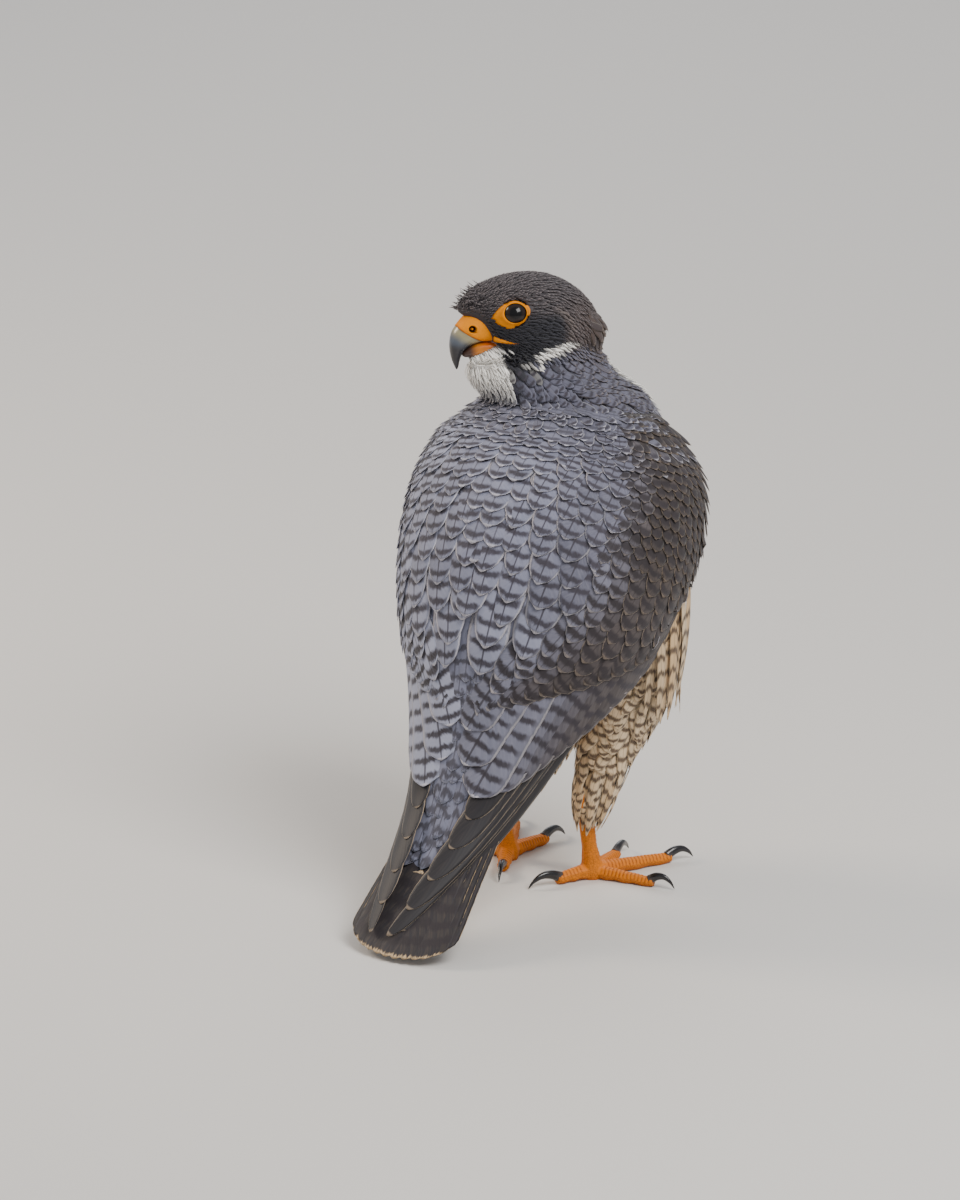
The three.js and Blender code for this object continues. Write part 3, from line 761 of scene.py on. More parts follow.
def skin():
    """One skin over the whole body with the shanks and toes as parts of it."""
    foot_points, foot_quads, foot_triangles = remeshed(FEET, FOOT_VOXEL, FOOT_SMOOTHING)
    foot_normals = vertex_normals(foot_points, foot_quads)
    furrows = scutes(foot_points, foot_normals)
    foot_points = foot_points - foot_normals * (furrows * FURROW_DEPTH)[:, None]
    foot_points[:, 2] = np.maximum(foot_points[:, 2], 0)
    base = len(skin_points)
    faces = [skin_quads, foot_quads + base, skin_triangles, foot_triangles + base]
    piece = finish_mesh("skin", np.concatenate([skin_points, foot_points]), [f for f in faces if len(f)],
                        scaly_skin_finish(), FLESH + FEET)
    # Painted shade: darker in the furrows between the scutes and within 3 mm of the floor.
    deep = np.clip(furrows * 0.8 + 0.35 * smooth(3, 0.5, foot_points[:, 2]), 0, 1)
    colour = np.concatenate([body_colour(skin_points)[0], mix(FOOT_YELLOW, FOOT_PAINTED_SHADE, deep)])
    set_colour(piece.data, "ground", colour)
    plates = smooth(0.0, 0.3, foot_normals[:, 2]) * (foot_points[:, 2] < SHANK_Z) * (1 - furrows)
    set_number(piece.data, "plate", np.concatenate([np.ones(base), plates]))


skin()


def on_skin(points):
    """The nearest places on the skin, with smooth normals there."""
    places, normals = np.empty_like(points), np.empty_like(points)
    for k, p in enumerate(points):
        near, _, face, _ = SKIN.find_nearest(Vector(p))
        places[k] = near
        corners = skin_quads[face]
        weight = 1 / (np.linalg.norm(skin_points[corners] - places[k], axis=1) + 0.3)
        normals[k] = weight @ skin_normals[corners]
    return places, unit(normals)


def scatter(spacing, keep, wanted):
    """Roots over the skin with about spacing(p) millimetres between them, where keep(p) holds."""
    a, b, c, d = corners_of(skin_points, skin_quads)
    area = np.linalg.norm(np.cross(c - a, d - b), axis=1) / 2
    middle = (a + b + c + d) / 4
    chance = np.where(keep(middle), area / spacing(middle) ** 2, 0)
    pick = rng.choice(len(area), size=wanted, p=chance / chance.sum())
    u, v = rng.random((2, wanted, 1))
    points = (a[pick] * (1 - u) + b[pick] * u) * (1 - v) + (d[pick] * (1 - u) + c[pick] * u) * v
    gaps = spacing(points)
    places = points.tolist()
    boxes = (points // gaps.max()).astype(int)
    nearby = np.array(list(itertools.product((-1, 0, 1), repeat=3)))
    cells, kept = {}, []
    for k, (x, y, z) in enumerate(places):
        boxes_near = (boxes[k] + nearby).tolist()
        others = [places[other] for box in boxes_near for other in cells.get(tuple(box), ())]
        if all((x - i) ** 2 + (y - j) ** 2 + (z - m) ** 2 >= gaps[k] * gaps[k] for i, j, m in others):
            cells.setdefault(tuple(boxes[k].tolist()), []).append(k)
            kept.append(k)
    return points[kept]


def flow(p):
    """The way the coat lies: back from the bill over the head, then down the neck, body and legs."""
    s = body_place(p)[0]
    h = in_head(p)
    body = unit(place(s - 4, 0, 0) - place(s + 4, 0, 0)) * np.ones_like(p)
    from_bill = unit((h - np.array([36, 0, -6])) * np.array([1, 1, 0.9]))
    from_bill[:, 2] -= smooth(-5, -40, h[:, 0]) * 0.9
    head = unit(from_bill) @ HEAD_TURNED.T
    neck = unit(place(350, 0, 0) - HEAD_ZERO - np.array([0, 0, -25])) * np.ones_like(p)
    head_part = smooth(-34, -22, h[:, 2]) * smooth(78, 66, head_distance(p))
    way = mix(body, neck, smooth(340, 366, s) * (1 - head_part))
    way = way * (1 - head_part[:, None]) + head * head_part[:, None]
    return unit(np.where(on_thigh(p)[:, None], unit(np.array([0, 0.25, -1])), way))


def along_skin(roots, lengths, rows, stray=0.12):
    """Paths over the skin from the roots, going with the coat, and their normals."""
    points, normals = on_skin(roots)
    way = flow(points)
    way = unit(way + np.cross(normals, way) * rng.normal(0, stray, (len(way), 1)))
    turn = np.cross(normals, way) * rng.normal(0, stray * 0.5, (len(way), 1))
    paths, ups = [points], [normals]
    for step in np.diff(rows):
        way = unit(way - (way * normals).sum(1, keepdims=True) * normals)
        points, normals = on_skin(points + way * (lengths * step)[:, None])
        way = way + turn * step
        paths.append(points)
        ups.append(normals)
    return np.stack(paths, 1), np.stack(ups, 1)


def skin_unwrap(p):
    """Places on an unwrap of the skin: round the body and along it, with the head at the top."""
    s, angle, _ = body_place(p)
    x, y, z = in_head(p).T
    body = (angle % 360) / 360, np.clip((s - 40) / 340, 0, 1) * 0.55
    round_leg = np.arctan2(p[:, 0] % 40 - 20, p[:, 1]) / (2 * math.pi) + 0.5
    leg = 0.5 + 0.24 * (p[:, 0] > 0) + 0.2 * round_leg, 0.58 + np.clip(p[:, 2] / 160, 0, 1) * 0.14
    head = np.arctan2(y, z + 8) / (2 * math.pi) + 0.5, 0.74 + np.clip((x + 54) / 90, 0, 1) * 0.26
    is_on_head = (smooth(-30, -24, z) > 0.5) & (head_distance(p) < 75)
    return np.where(is_on_head, head, np.where(on_thigh(p), leg, body)).T


# The bill, the eyes and the bare skin round them

# The eye's own frame on the left of the head: forward along the ring of bare skin, up it and out through
# it. Then the half sizes between the lids, the ring's outline and the line of the mouth's corner.
EYE_FORWARD = np.array([0.974, -0.222, 0.052])
EYE_UP = np.array([-0.090, -0.166, 0.983])
EYE_OUT = np.array([0.210, 0.961, 0.182])
LID_HALF = 6.3, 5.65
RING_OUTLINE = [(13.6, -2.7), (12.3, -0.6), (10.0, 1.9), (7.2, 4.3), (4.1, 6.3), (-0.2, 7.0), (-4.4, 6.3),
                (-7.5, 4.6), (-8.7, 2.7), (-8.9, 1.0), (-8.4, -1.4), (-6.8, -4.0), (-3.2, -6.7), (0.5, -8.1),
                (3.5, -8.8), (7.2, -7.4), (10.8, -5.3)]
GAPE_LINE = [(13.5, 11.0, -15.4), (9.6, 14.4, -16.4), (6.0, 17.0, -17.3), (3.2, 18.9, -17.9),
             (1.0, 20.2, -18.1)]


def ring_reach(turn):
    """How far out the ring of bare skin goes at an angle round the eye, in degrees from forward to up."""
    points = np.array(RING_OUTLINE)
    angles = np.degrees(np.arctan2(points[:, 1], points[:, 0])) % 360
    order = np.argsort(angles)
    return np.interp(np.asarray(turn) % 360, angles[order], np.hypot(*points[order].T), period=360)


def eye_place(p):
    """Places beside the eye: forward, up and out from its middle."""
    h = in_head(p)
    h = np.stack([h[:, 0], np.abs(h[:, 1]), h[:, 2]], 1) - EYE
    return h @ EYE_FORWARD, h @ EYE_UP, h @ EYE_OUT


def in_ring(p, margin=0.0):
    forward, up, out = eye_place(p)
    reach = ring_reach(np.degrees(np.arctan2(up, forward)))
    return (np.hypot(forward, up) < reach + margin) & (out > -2)


def through(rows, count):
    """Smooth values through rows of numbers: count steps from the first row to the last, and the steps."""
    rows = np.array(rows, float)
    at = np.linspace(0, len(rows) - 1, count)
    columns = [curve(np.stack([np.arange(len(rows)), column], 1))(at) for column in rows.T]
    return np.stack(columns, 1), at


def bill_grid(rings, count, around, bow, power_over, power_under):
    """A smooth surface through the bill's rings: (ring, point, 3) in the head's frame.

    Each ring is its upper and lower point on the middle plane and its half width. The powers say how square
    it is over and under its middle, and bow how far the middle is pushed forward along the bill.
    """
    values, at = through([[*top, *bottom, half] for top, bottom, half in rings], count)
    top_x, top_z, low_x, low_z, half = values.T[..., None]
    turn = np.linspace(0, 2 * math.pi, around, endpoint=False)[None]
    c, s = np.cos(turn), np.sin(turn)
    power = np.where(s > 0, power_over, power_under)
    across = np.sign(c) * np.abs(c) ** (2 / power)
    rise = np.sign(s) * np.abs(s) ** (2 / power)
    x = (top_x + low_x) / 2 + (top_x - low_x) / 2 * rise
    z = (top_z + low_z) / 2 + (top_z - low_z) / 2 * rise
    x = x + np.interp(at, np.linspace(0, len(rings) - 1, len(bow)), bow)[:, None] * (1 - rise ** 2)
    return np.stack([x, half * across, z], -1)


CERE_RINGS = [[[12, 0.5], [4, -17.5], 10], [[20, 1.2], [9, -17.5], 9.6], [[27.5, -1.4], [13.5, -17.4], 9.0],
              [[33.4, -7.2], [18.2, -17.3], 7.9]]
UPPER_BILL_RINGS = [[[33.3, -7.3], [18.2, -17.5], 7.7], [[35.7, -10.8], [24.6, -18.9], 7.1],
                    [[37.2, -15.6], [29.0, -21.5], 5.8], [[37.5, -21], [31.0, -24.6], 4.3],
                    [[36.6, -26.6], [32.2, -28.0], 2.6], [[35.2, -30.6], [32.8, -30.6], 1.4],
                    [[34.3, -32.6], [33.5, -32.2], 0.5]]
LOWER_BILL_RINGS = [[[4, -17.6], [4, -24], 8.2], [[13, -17.8], [13, -24.8], 7.6],
                    [[21, -18], [21, -25.8], 6.4], [[26.6, -20], [26.2, -26.2], 5.0],
                    [[29.8, -22.4], [29.4, -25.8], 2.8], [[30.8, -23.4], [30.4, -24.8], 1.0]]
NOSTRIL = np.array([25.2, -9.0])
HORN_PALE = srgb(150, 140, 106)
HORN_BLUE = srgb(88, 96, 108)
HORN_DARK = srgb(34, 32, 36)
YELLOW = srgb(230, 138, 0)
YELLOW_DEEP = srgb(200, 96, 0)
ORANGE_HORN = srgb(190, 112, 20)
# Painted shade for the pit of the nostril.
NOSTRIL_PAINTED_SHADE = srgb(16, 10, 8)
CERE_EDGE = srgb(172, 84, 30)
LID_DARK = srgb(60, 36, 14)
PUPIL = srgb(6, 5, 6)
IRIS = srgb(34, 22, 17)
IRIS_EDGE = srgb(10, 7, 6)
BARE_SKIN = bare_skin_finish()
HORN = horn_finish("bill_horn", 0.3)
TALON = horn_finish("talon", 0.22)
EYE_SURFACE = eye_finish()


def mouth_corner(side):
    """The thin yellow corner of the mouth, back from the cere: (ring, point, 3) in the head's frame."""
    path, at = through(np.array(GAPE_LINE) * [1, side, 1], 24)
    near, normals = on_skin(on_head(path))
    middle = in_head(near + normals * np.interp(at, [0, 4], [0.9, 0.5])[:, None])
    out = unit(in_head(near + normals) - in_head(near))
    across = np.cross(out, unit(np.gradient(middle, axis=0)))
    wide = np.interp(at, [0, 1, 2.4, 4], [1.9, 1.2, 0.55, 0.2])[:, None, None]
    turn = np.linspace(0, 2 * math.pi, 12, endpoint=False)[None, :, None]
    tube = middle[:, None] + across[:, None] * np.cos(turn) * wide
    tube = tube + out[:, None] * np.sin(turn) * wide * 0.6
    fading = mix(YELLOW, YELLOW_DEEP * 0.6, np.interp(at, [1.5, 4], [0, 1]))
    return tube, np.concatenate([np.repeat(fading, 12, axis=0), np.tile(YELLOW_DEEP, (2, 1))])


def cere():
    grid = bill_grid(CERE_RINGS, 56, 128, [0, 0, 0.8, 2.0], 2.1, 3.0)
    x, y, z = np.moveaxis(grid, -1, 0)
    away = np.hypot((x - NOSTRIL[0]) * 0.95, z - NOSTRIL[1])
    hole = smooth(2.2, 1.5, away) * 2.3 - smooth(0.85, 0.4, away) * 1.6
    rim = 0.45 * np.exp(-((away - 2.5) / 0.55) ** 2)
    at_side = np.abs(y) > 2
    grid[..., 1] += np.sign(y) * at_side * (rim - hole)
    yellow = mix(YELLOW, YELLOW_DEEP, 0.7 * smooth(-12.5, -17, z) * smooth(18, 26, x))
    # Painted shade: the nostril's pit round its tubercle is painted near black.
    dark = at_side * smooth(2.25, 1.8, away) * smooth(0.5, 0.85, away)
    front = smooth(0.93, 1.0, np.linspace(0, 1, len(grid)))[:, None] * smooth(0, 2, np.abs(y))
    colour = mix(mix(yellow, NOSTRIL_PAINTED_SHADE, dark), CERE_EDGE, front * 0.8)
    grids = [(grid, np.concatenate([colour.reshape(-1, 3), np.tile(YELLOW, (2, 1))]))]
    grids += [mouth_corner(side) for side, _ in SIDES]
    vertices, faces = np.empty((0, 3)), []
    for points, _ in grids:
        faces += [f + len(vertices) for f in closed_tube(*points.shape[:2])]
        vertices = np.concatenate([vertices, ended(points)])
    piece = finish_mesh("cere_skin", on_head(vertices), faces, BARE_SKIN, ["cere"])
    set_colour(piece.data, "ground", np.concatenate([colours for _, colours in grids]))


def upper_bill():
    grid = bill_grid(UPPER_BILL_RINGS, 72, 64, [2.0, 0.6, 0, 0, 0, 0, 0], 2.0, 2.6)
    part = np.linspace(0, 1, len(grid))[:, None]
    x, y, z = np.moveaxis(grid, -1, 0)
    # The tooth on the cutting edge, behind the hook, and the hollow between them.
    low = smooth(0.55, 0.95, np.abs(y) / np.maximum(np.abs(y).max(1, keepdims=True), 0.1))
    edge = low * smooth(-0.2, -0.8, (z - z.mean(1, keepdims=True)) / (np.ptp(z, axis=1)[:, None] / 2))
    tooth = 1.1 * np.exp(-((part - 0.33) / 0.045) ** 2)
    hollow = 0.5 * np.exp(-((part - 0.45) / 0.05) ** 2)
    grid[..., 2] -= edge * (tooth - hollow)
    colour = mix(HORN_PALE, HORN_BLUE, smooth(0.08, 0.30, part) * np.ones_like(x))
    colour = mix(colour, HORN_DARK, smooth(0.31, 0.6, part) * np.ones_like(x))
    colour = mix(colour, HORN_DARK, 0.9 * smooth(-15, -21, z) * smooth(23, 28.5, x))
    tube_piece("bill_upper_horn", on_head(grid), colour, HORN_DARK, HORN, "bill_upper")


def lower_bill():
    grid = bill_grid(LOWER_BILL_RINGS, 44, 48, [0, 0], 3.0, 2.2)
    x, _, z = np.moveaxis(grid, -1, 0)
    colour = mix(ORANGE_HORN, YELLOW_DEEP, smooth(-22.5, -19, z) * smooth(24, 16, x) * 0.8)
    colour = mix(colour, HORN_DARK, smooth(21, 27, x) * 0.92)
    tube_piece("bill_lower_horn", on_head(grid), colour, HORN_DARK, HORN, "bill_lower")


def beside_eye(local, side):
    """Points given as forward, up and out from the left eye, in the scene, on either side of the head."""
    p = EYE + local[..., :1] * EYE_FORWARD + local[..., 1:2] * EYE_UP + local[..., 2:] * EYE_OUT
    return on_head(p * [1, side, 1])


def eye(side, word):
    polar = np.linspace(0.04, math.pi - 0.04, 40)[:, None]
    turn = np.linspace(0, 2 * math.pi, 48, endpoint=False)[None]
    swell = 1 + 0.045 * np.exp(-(polar / 0.5) ** 2)
    ball = [np.sin(polar) * np.cos(turn), np.sin(polar) * np.sin(turn), np.cos(polar) * np.ones_like(turn)]
    iris = mix(PUPIL, IRIS, smooth(0.45, 0.52, polar))
    iris = mix(iris, IRIS_EDGE, smooth(0.66, 0.85, polar))
    grid = beside_eye(EYE_RADIUS * swell[..., None] * np.stack(ball, -1), side)
    tube_piece(f"eyeball_{word}", grid, iris, np.zeros(3), EYE_SURFACE, f"eye_{word}",
               outward=side > 0)


# The lids and the ring of bare skin in cross-section: parts of the way out from the lid's edge, and the
# height over the skin at each; then the parts of the way of its hidden underside.
LID_PROFILE = [(0, -0.5), (0, 0.2), (0.05, 0.55), (0.13, 0.6), (0.25, 0.35), (0.4, 0.25), (0.6, 0.25),
               (0.8, 0.2), (1.0, -0.4)]
UNDER_LID = 0.8, 0.4, 0.1
RAY_START = 40


def orbit(side, word):
    """The lids and the ring of bare yellow skin round them."""
    around = 96
    turn = np.linspace(0, 360, around, endpoint=False)
    c, s = np.cos(np.radians(turn)), np.sin(np.radians(turn))
    inner = 1 / np.sqrt((c / LID_HALF[0]) ** 2 + (s / LID_HALF[1]) ** 2)
    outer = np.maximum(ring_reach(turn) + 0.4 - 0.9 * smooth(0.2, -0.6, c), inner + 0.9)
    far = np.zeros(around)
    for k in range(around):
        local = np.array([c[k] * outer[k], s[k] * outer[k], RAY_START])
        start = Vector(beside_eye(local, side))
        hit = SKIN.ray_cast(start, Vector(beside_eye(local - [0, 0, 1], side)) - start)
        if hit[0] is not None:
            far[k] = RAY_START - hit[3]
    far = (np.roll(far, 1) + 2 * far + np.roll(far, -1)) / 4
    near = np.sqrt(EYE_RADIUS ** 2 - inner ** 2)
    rings = []
    for part, lift in LID_PROFILE:
        reach = inner + (outer - inner) * part
        height = near + (far + 0.9 - near) * smooth(0, 1, part) + lift
        ball = np.sqrt(np.maximum(EYE_RADIUS ** 2 - np.minimum(reach, EYE_RADIUS) ** 2, 0)) * 1.02
        rings.append(np.stack([c * reach, s * reach, np.maximum(height, ball + min(lift, 0.2))], 1))
    for part in UNDER_LID:
        reach = inner + (outer - inner) * part
        height = near + (far + 0.9 - near) * smooth(0, 1, part) - 1.2
        rings.append(np.stack([c * reach, s * reach, height], 1))
    loop = np.stack(rings, 1)
    count = len(rings)
    first, second = with_next(np.arange(count))
    last = (around - 1) * count
    closing = np.stack([last + first, last + second, second, first], 1)
    faces = np.concatenate([grid_faces(around, count, wrap=True), closing])
    if side > 0:
        faces = faces[:, ::-1]
    piece = finish_mesh(f"eyelids_{word}", beside_eye(loop, side), [faces], BARE_SKIN)
    shade = np.zeros((around, count))
    shade[:, :2] = 0.9
    shade[:, 4:6] = 0.15
    set_colour(piece.data, "ground", mix(YELLOW, LID_DARK, shade).reshape(-1, 3))


def talon(number, length, thick, turn, claw, side, word):
    part = np.linspace(0, 1, 26)
    way = toe_way(turn, side)
    ahead = length - CLAW_IN_TOE + (claw + CLAW_IN_TOE - CLAW_SHORTER) * part
    middle = foot_middle(side) + ahead[:, None] * way + CLAW_HEIGHT(part)[:, None] * [0, 0, 1]
    radius = (thick * CLAW_PART(part))[:, None, None]
    along = unit(np.gradient(middle, axis=0))
    across = np.broadcast_to(np.cross([0, 0, 1], way), along.shape)
    up = np.cross(along, across)
    angle = np.linspace(0, 2 * math.pi, 20, endpoint=False)[None, :, None]
    grid = middle[:, None] + (across[:, None] * np.cos(angle) * 0.82 + up[:, None] * np.sin(angle)) * radius
    grid[..., 2] = np.maximum(grid[..., 2], 0.1)
    colour = mix(CLAW_BASE, CLAW_BLACK, smooth(0, 0.22, part))[:, None]
    tube_piece(f"talon_{number}_{word}", grid, colour, CLAW_BLACK, TALON, f"claw_{number}_{word}")


cere()
upper_bill()
lower_bill()
for side, word in SIDES:
    eye(side, word)
    orbit(side, word)
for side, word in SIDES:
    for toe in TOES:
        talon(*toe, side, word)


# Feathers over the body


def head_part(p):
    """1 on the head, 0 below it."""
    return smooth(-36, -20, in_head(p)[:, 2]) * smooth(80, 66, head_distance(p))


def body_spacing(p):
    """How far apart the feathers' roots are."""
    s, _, n = body_place(p)
    x, _, z = in_head(p).T
    head = head_part(p)
    neck = smooth(335, 362, s)
    gap = np.interp(s, [60, 120, 200, 300], [6.0, 5.6, 5.8, 5.6])
    back = at_back(p, n) * smooth(-22, -34, z) * (1 - hood_colour(p)[1])
    throat = np.interp(-z, [22, 40, 62], [1.0, 1.1, 2.4])
    gap = gap * (1 - neck) + (throat + (3.4 - throat) * back) * neck
    gap = gap * (1 - head) + (1.5 - 0.4 * smooth(-22, 10, x) * head) * head
    return np.where(on_thigh(p), 5.6, gap)


def bare(p):
    """Bare places of the face: the ring round the eye and the bill with its cere."""
    x, y, z = in_head(p).T
    bill = x > np.interp(z, [-27, -18, -17.5, -14.6, -9.7, -3, 0, 1.2, 2.2],
                         [10, 8, 12.0, 12.5, 15.2, 18.8, 22, 25, 40])
    bill &= (z > -17.9) | (z > -25.5 - 0.1 * (x - 10)) & (np.abs(y) < 9)
    return in_ring(p) | bill


def feathered(p):
    return ~bare(p) & ~in_ring(p + flow(p) * 2.2)


ROOTS_TRIED = 60000
CONTOUR_ROOTS = scatter(body_spacing, feathered, ROOTS_TRIED)


def is_head(p):
    return head_part(p) > 0.4


def is_neck(p):
    return ~is_head(p) & (body_place(p)[0] > NECK_START) & ~on_thigh(p)


def under_wing(p, margin):
    """Skin that the folded wing or the shoulder feathers cover."""
    s, angle, _ = body_place(p)
    return (s > WING_START) & (s < WING_END) & (from_the_side(angle) > WING_LOWER(s) + margin)


def is_body(p):
    s, angle, _ = body_place(p)
    rump = (s < 200) & (from_the_side(angle) > -12 + 34 * smooth(110, 150, s))
    upper = smooth(210, 250, s)
    covered = under_wing(p, -1 + 9 * upper) | under_wing(p + flow(p) * 11, 3 + 5 * upper)
    return ~is_head(p) & ~is_neck(p) & ~on_thigh(p) & ~covered & ~rump


THROAT_WHITENESS = 0.42


def is_throat(p):
    return is_neck(p) & (body_colour(p)[0].min(1) > THROAT_WHITENESS)


def is_nape(p):
    """The neck's sides and back, down to where the mantle covers it."""
    s, _, n = body_place(p)
    facing = np.degrees(np.arctan2(n, p[:, 0]))
    mantled = (s < 345) & (facing > 30) & (facing < 150)
    return is_neck(p) & ~is_throat(p) & ~mantled


def coat_part(name, test, slot, finish, rows=SMALL_ROWS, width=0.62, length=2.9, longest=99.0, lift=0.85,
              jitter=0.12, stray=0.12, coloured_at=2, **vanes):
    """A tract of the coat over the skin's roots that pass the test.

    Width and length are in gaps between roots, lift is how far up the tips stand as a part of the coat's
    depth, jitter and stray how unevenly long and how astray the feathers are, and coloured_at the row of a
    feather's path whose place gives its colour.
    """
    roots = CONTOUR_ROOTS[test(CONTOUR_ROOTS)]
    count = len(roots)
    gap = body_spacing(roots)
    lengths = np.minimum(gap * length, longest) * (1 + rng.normal(0, jitter, count))
    paths, normals = along_skin(roots, lengths, rows, stray)
    ground, s, head = body_colour(paths[:, coloured_at])
    # The lowest feathers of the neck lie on the mantle's.
    root_s, _, root_n = body_place(roots)
    over_mantle = 0.55 * at_back(roots, root_n) * smooth(372, 356, root_s) * is_neck(roots)
    rise = coat_depth(roots)[:, None] * (0.12 + (lift + over_mantle[:, None]) * rows[None])
    rise = rise + rng.normal(0, 0.12, (count, 1)) * rows[None]
    dark = smooth(0.36, 0.2, ground.max(1))
    bar = mix(mix(UNDER_BAR, BAR, dark), ground * 0.88, (1 - dark) * smooth(296, 350, s))
    x, _, z = in_head(roots).T
    tip = mix(HOOD_TIP, ground * 1.35 + 0.006, head * smooth(4, -6, z) * smooth(-28, -20, x))
    edge = mix(ground * 1.12 + 0.02, np.where(head[:, None] > 0.5, tip, EDGE_PALE * 0.8), dark)
    widths = gap * width * (1 + rng.normal(0, 0.06, count))
    lay(name, finish, paths, normals, widths, rows, rise=rise, roots=skin_unwrap(roots), slot=slot,
        ground=ground, edge=edge, bar=bar, sides=60, thick=0.25, **vanes)


coat_part("head_coat", is_head, "head_feathers", dict(fringe=0.3, tip=0.2, shaft=0.35, streak=0.5),
          rows_to_tip(4), 0.56, 3.4, columns=3, shape="pointed")
coat_part("throat_coat", is_throat, "neck_feathers", dict(fringe=0.1, tip=0.1, shaft=0.1, streak=0.2),
          rows_to_tip(5), 0.7, 5.0, 6.5, columns=3, shape="pointed", stray=0.14, jitter=0.2, coloured_at=0)
coat_part("neck_coat", is_nape, "neck_feathers",
          dict(period=0.42, last=0.2, bar_width=0.3, bar_reach=0.9, fringe=0.16, tip=0.07, shaft=0.5),
          SMALL_ROWS, 0.9, 4.0, columns=5, patch=0.006, lift=0.7, jitter=0.08, coloured_at=0)
coat_part("breast_coat", is_body, "trunk_feathers",
          dict(period=0.45, last=0.2, bar_width=0.3, bar_reach=0.9, fringe=0.05, tip=0.03, shaft=0.25),
          rows_to_tip(7), 0.8, columns=5, patch=0.008)
coat_part("leg_coat", on_thigh, "thigh_feathers",
          dict(period=0.27, last=0.14, bar_width=0.36, bar_reach=1.1, fringe=0.08, tip=0.05, shaft=0.4,
               bow=0.06, rough_bars=0.07),
          rows_to_tip(8), 0.72, 4.2, lift=1.0, columns=5, jitter=0.2, stray=0.2, patch=0.008)


def straight(roots, ways, rows):
    return roots[:, None] + ways[:, None] * rows[None, :, None]


def forehead_bristles():
    """Short stiff feathers that stand up over the bill."""
    x, y, z = in_head(CONTOUR_ROOTS).T
    over_bill = (x > 17) & (z > 1) & (np.abs(y) < 15)
    roots = CONTOUR_ROOTS[over_bill & (rng.random(len(CONTOUR_ROOTS)) < 0.5)]
    near, normals = on_skin(roots)
    ahead = on_head(in_head(roots) + [1, 0, 0]) - roots
    way = unit(normals * 0.75 + 0.25 * ahead - 0.2 * flow(roots) + rng.normal(0, 0.28, roots.shape))
    rows = rows_to_tip(5)
    paths = straight(near, way * rng.uniform(3.0, 6.0, len(roots))[:, None], rows)
    paths[..., 2] += rows ** 2 * 0.8
    lay("forehead_bristles", dict(fringe=0.3, tip=0.3, shaft=0.2, streak=0.5), paths,
        unit(np.cross(way, np.cross(-ahead, way))), np.full(len(roots), 0.55), rows, 3, 0, skin_unwrap(near),
        "head_feathers", HOOD, HOOD_TIP, HOOD, sides=400, shape="lance", thick=0.2)


CHIN_COUNT = 1100


def chin_feathers():
    """White feathers that grow forward under the lower bill and hide its root."""
    grid = bill_grid(LOWER_BILL_RINGS, 70, 90, [0, 0], 3.0, 2.2)
    points = grid.reshape(-1, 3)
    across = np.roll(grid, -1, 1) - np.roll(grid, 1, 1)
    outward = unit(np.cross(np.gradient(grid, axis=0), across)).reshape(-1, 3)
    outward *= np.sign((outward * (points - [16, 0, -21])).sum(1, keepdims=True))
    x, _, z = points.T
    line = np.interp(x, [4, 9, 14, 20, 25, 27], [-17.6, -18.4, -20.4, -23.2, -25.4, -26.2])
    chosen = rng.permutation(np.flatnonzero((z < line) & (x > 5) & (x < 26.5)))[:CHIN_COUNT]
    roots, outward = points[chosen], outward[chosen]
    way = unit(np.array([-0.55, 0, -0.62]) + 0.35 * outward + rng.normal(0, 0.13, roots.shape))
    rows = rows_to_tip(5)
    paths = on_head(straight(roots, way * rng.uniform(4, 13, CHIN_COUNT)[:, None], rows))
    world = on_head(roots)
    lay("chin_feathers", dict(fringe=0.1, tip=0.1, shaft=0.1, streak=0.2), paths,
        unit(on_head(roots + outward) - world), rng.uniform(0.8, 1.1, CHIN_COUNT), rows, 3, 0.1 + 0.3 * rows,
        skin_unwrap(world), "neck_feathers", WHITE, WHITE, WHITE * 0.85, sides=60, shape="pointed",
        thick=0.2)


def nape_feathers():
    """Loose feathers that fall from the back of the head over the neck."""
    near = CONTOUR_ROOTS[is_head(CONTOUR_ROOTS) | is_nape(CONTOUR_ROOTS)]
    x, y, z = in_head(near).T
    chosen = (x < -40) & (z > -34) & (z < -4) & (y > -30) & (y < 20)
    roots = near[chosen & (rng.random(len(near)) < 0.55)]
    count = len(roots)
    rows = rows_to_tip(8)
    paths, normals = along_skin(roots, rng.uniform(9, 15, count), rows, 0.2)
    rise = (0.4 + 0.5 * rng.random((count, 1))) + rng.uniform(0.5, 3.2, (count, 1)) * rows[None] ** 1.3
    low = 1 - smooth(-34, -10, in_head(roots)[:, 2])
    ground = mix(mix(NAPE, HOOD, rng.random(count) * 0.7), SLATE_DARK, 0.7 * low)
    lay("nape_feathers", dict(fringe=0.22, tip=0.1, shaft=0.6, streak=0.4), paths, normals,
        rng.uniform(1.7, 2.7, count), rows, 5, rise, skin_unwrap(roots), "head_feathers", ground,
        mix(ground, EDGE_BUFF, 0.45), HOOD, sides=30, patch=0.004, thick=0.25)


PLUME_BULGE = 3


def plumes(name, roots, ends, out, face, widths, columns, sides, patch, **finish):
    """Loose leg feathers from the roots to their ends, bulging outward half way."""
    t = PLUME_ROWS[None, :, None]
    paths = straight(roots, ends - roots, PLUME_ROWS) + out[:, None] * np.sin(math.pi * t) * PLUME_BULGE
    ground = mix(BUFF, CREAM, rng.random(len(roots)))
    lay(name, dict(last=0.12, **finish), paths, face, widths(len(roots)), PLUME_ROWS, columns, 0.2,
        skin_unwrap(roots), "thigh_feathers", ground, CREAM, UNDER_BAR, sides, "pointed", patch)


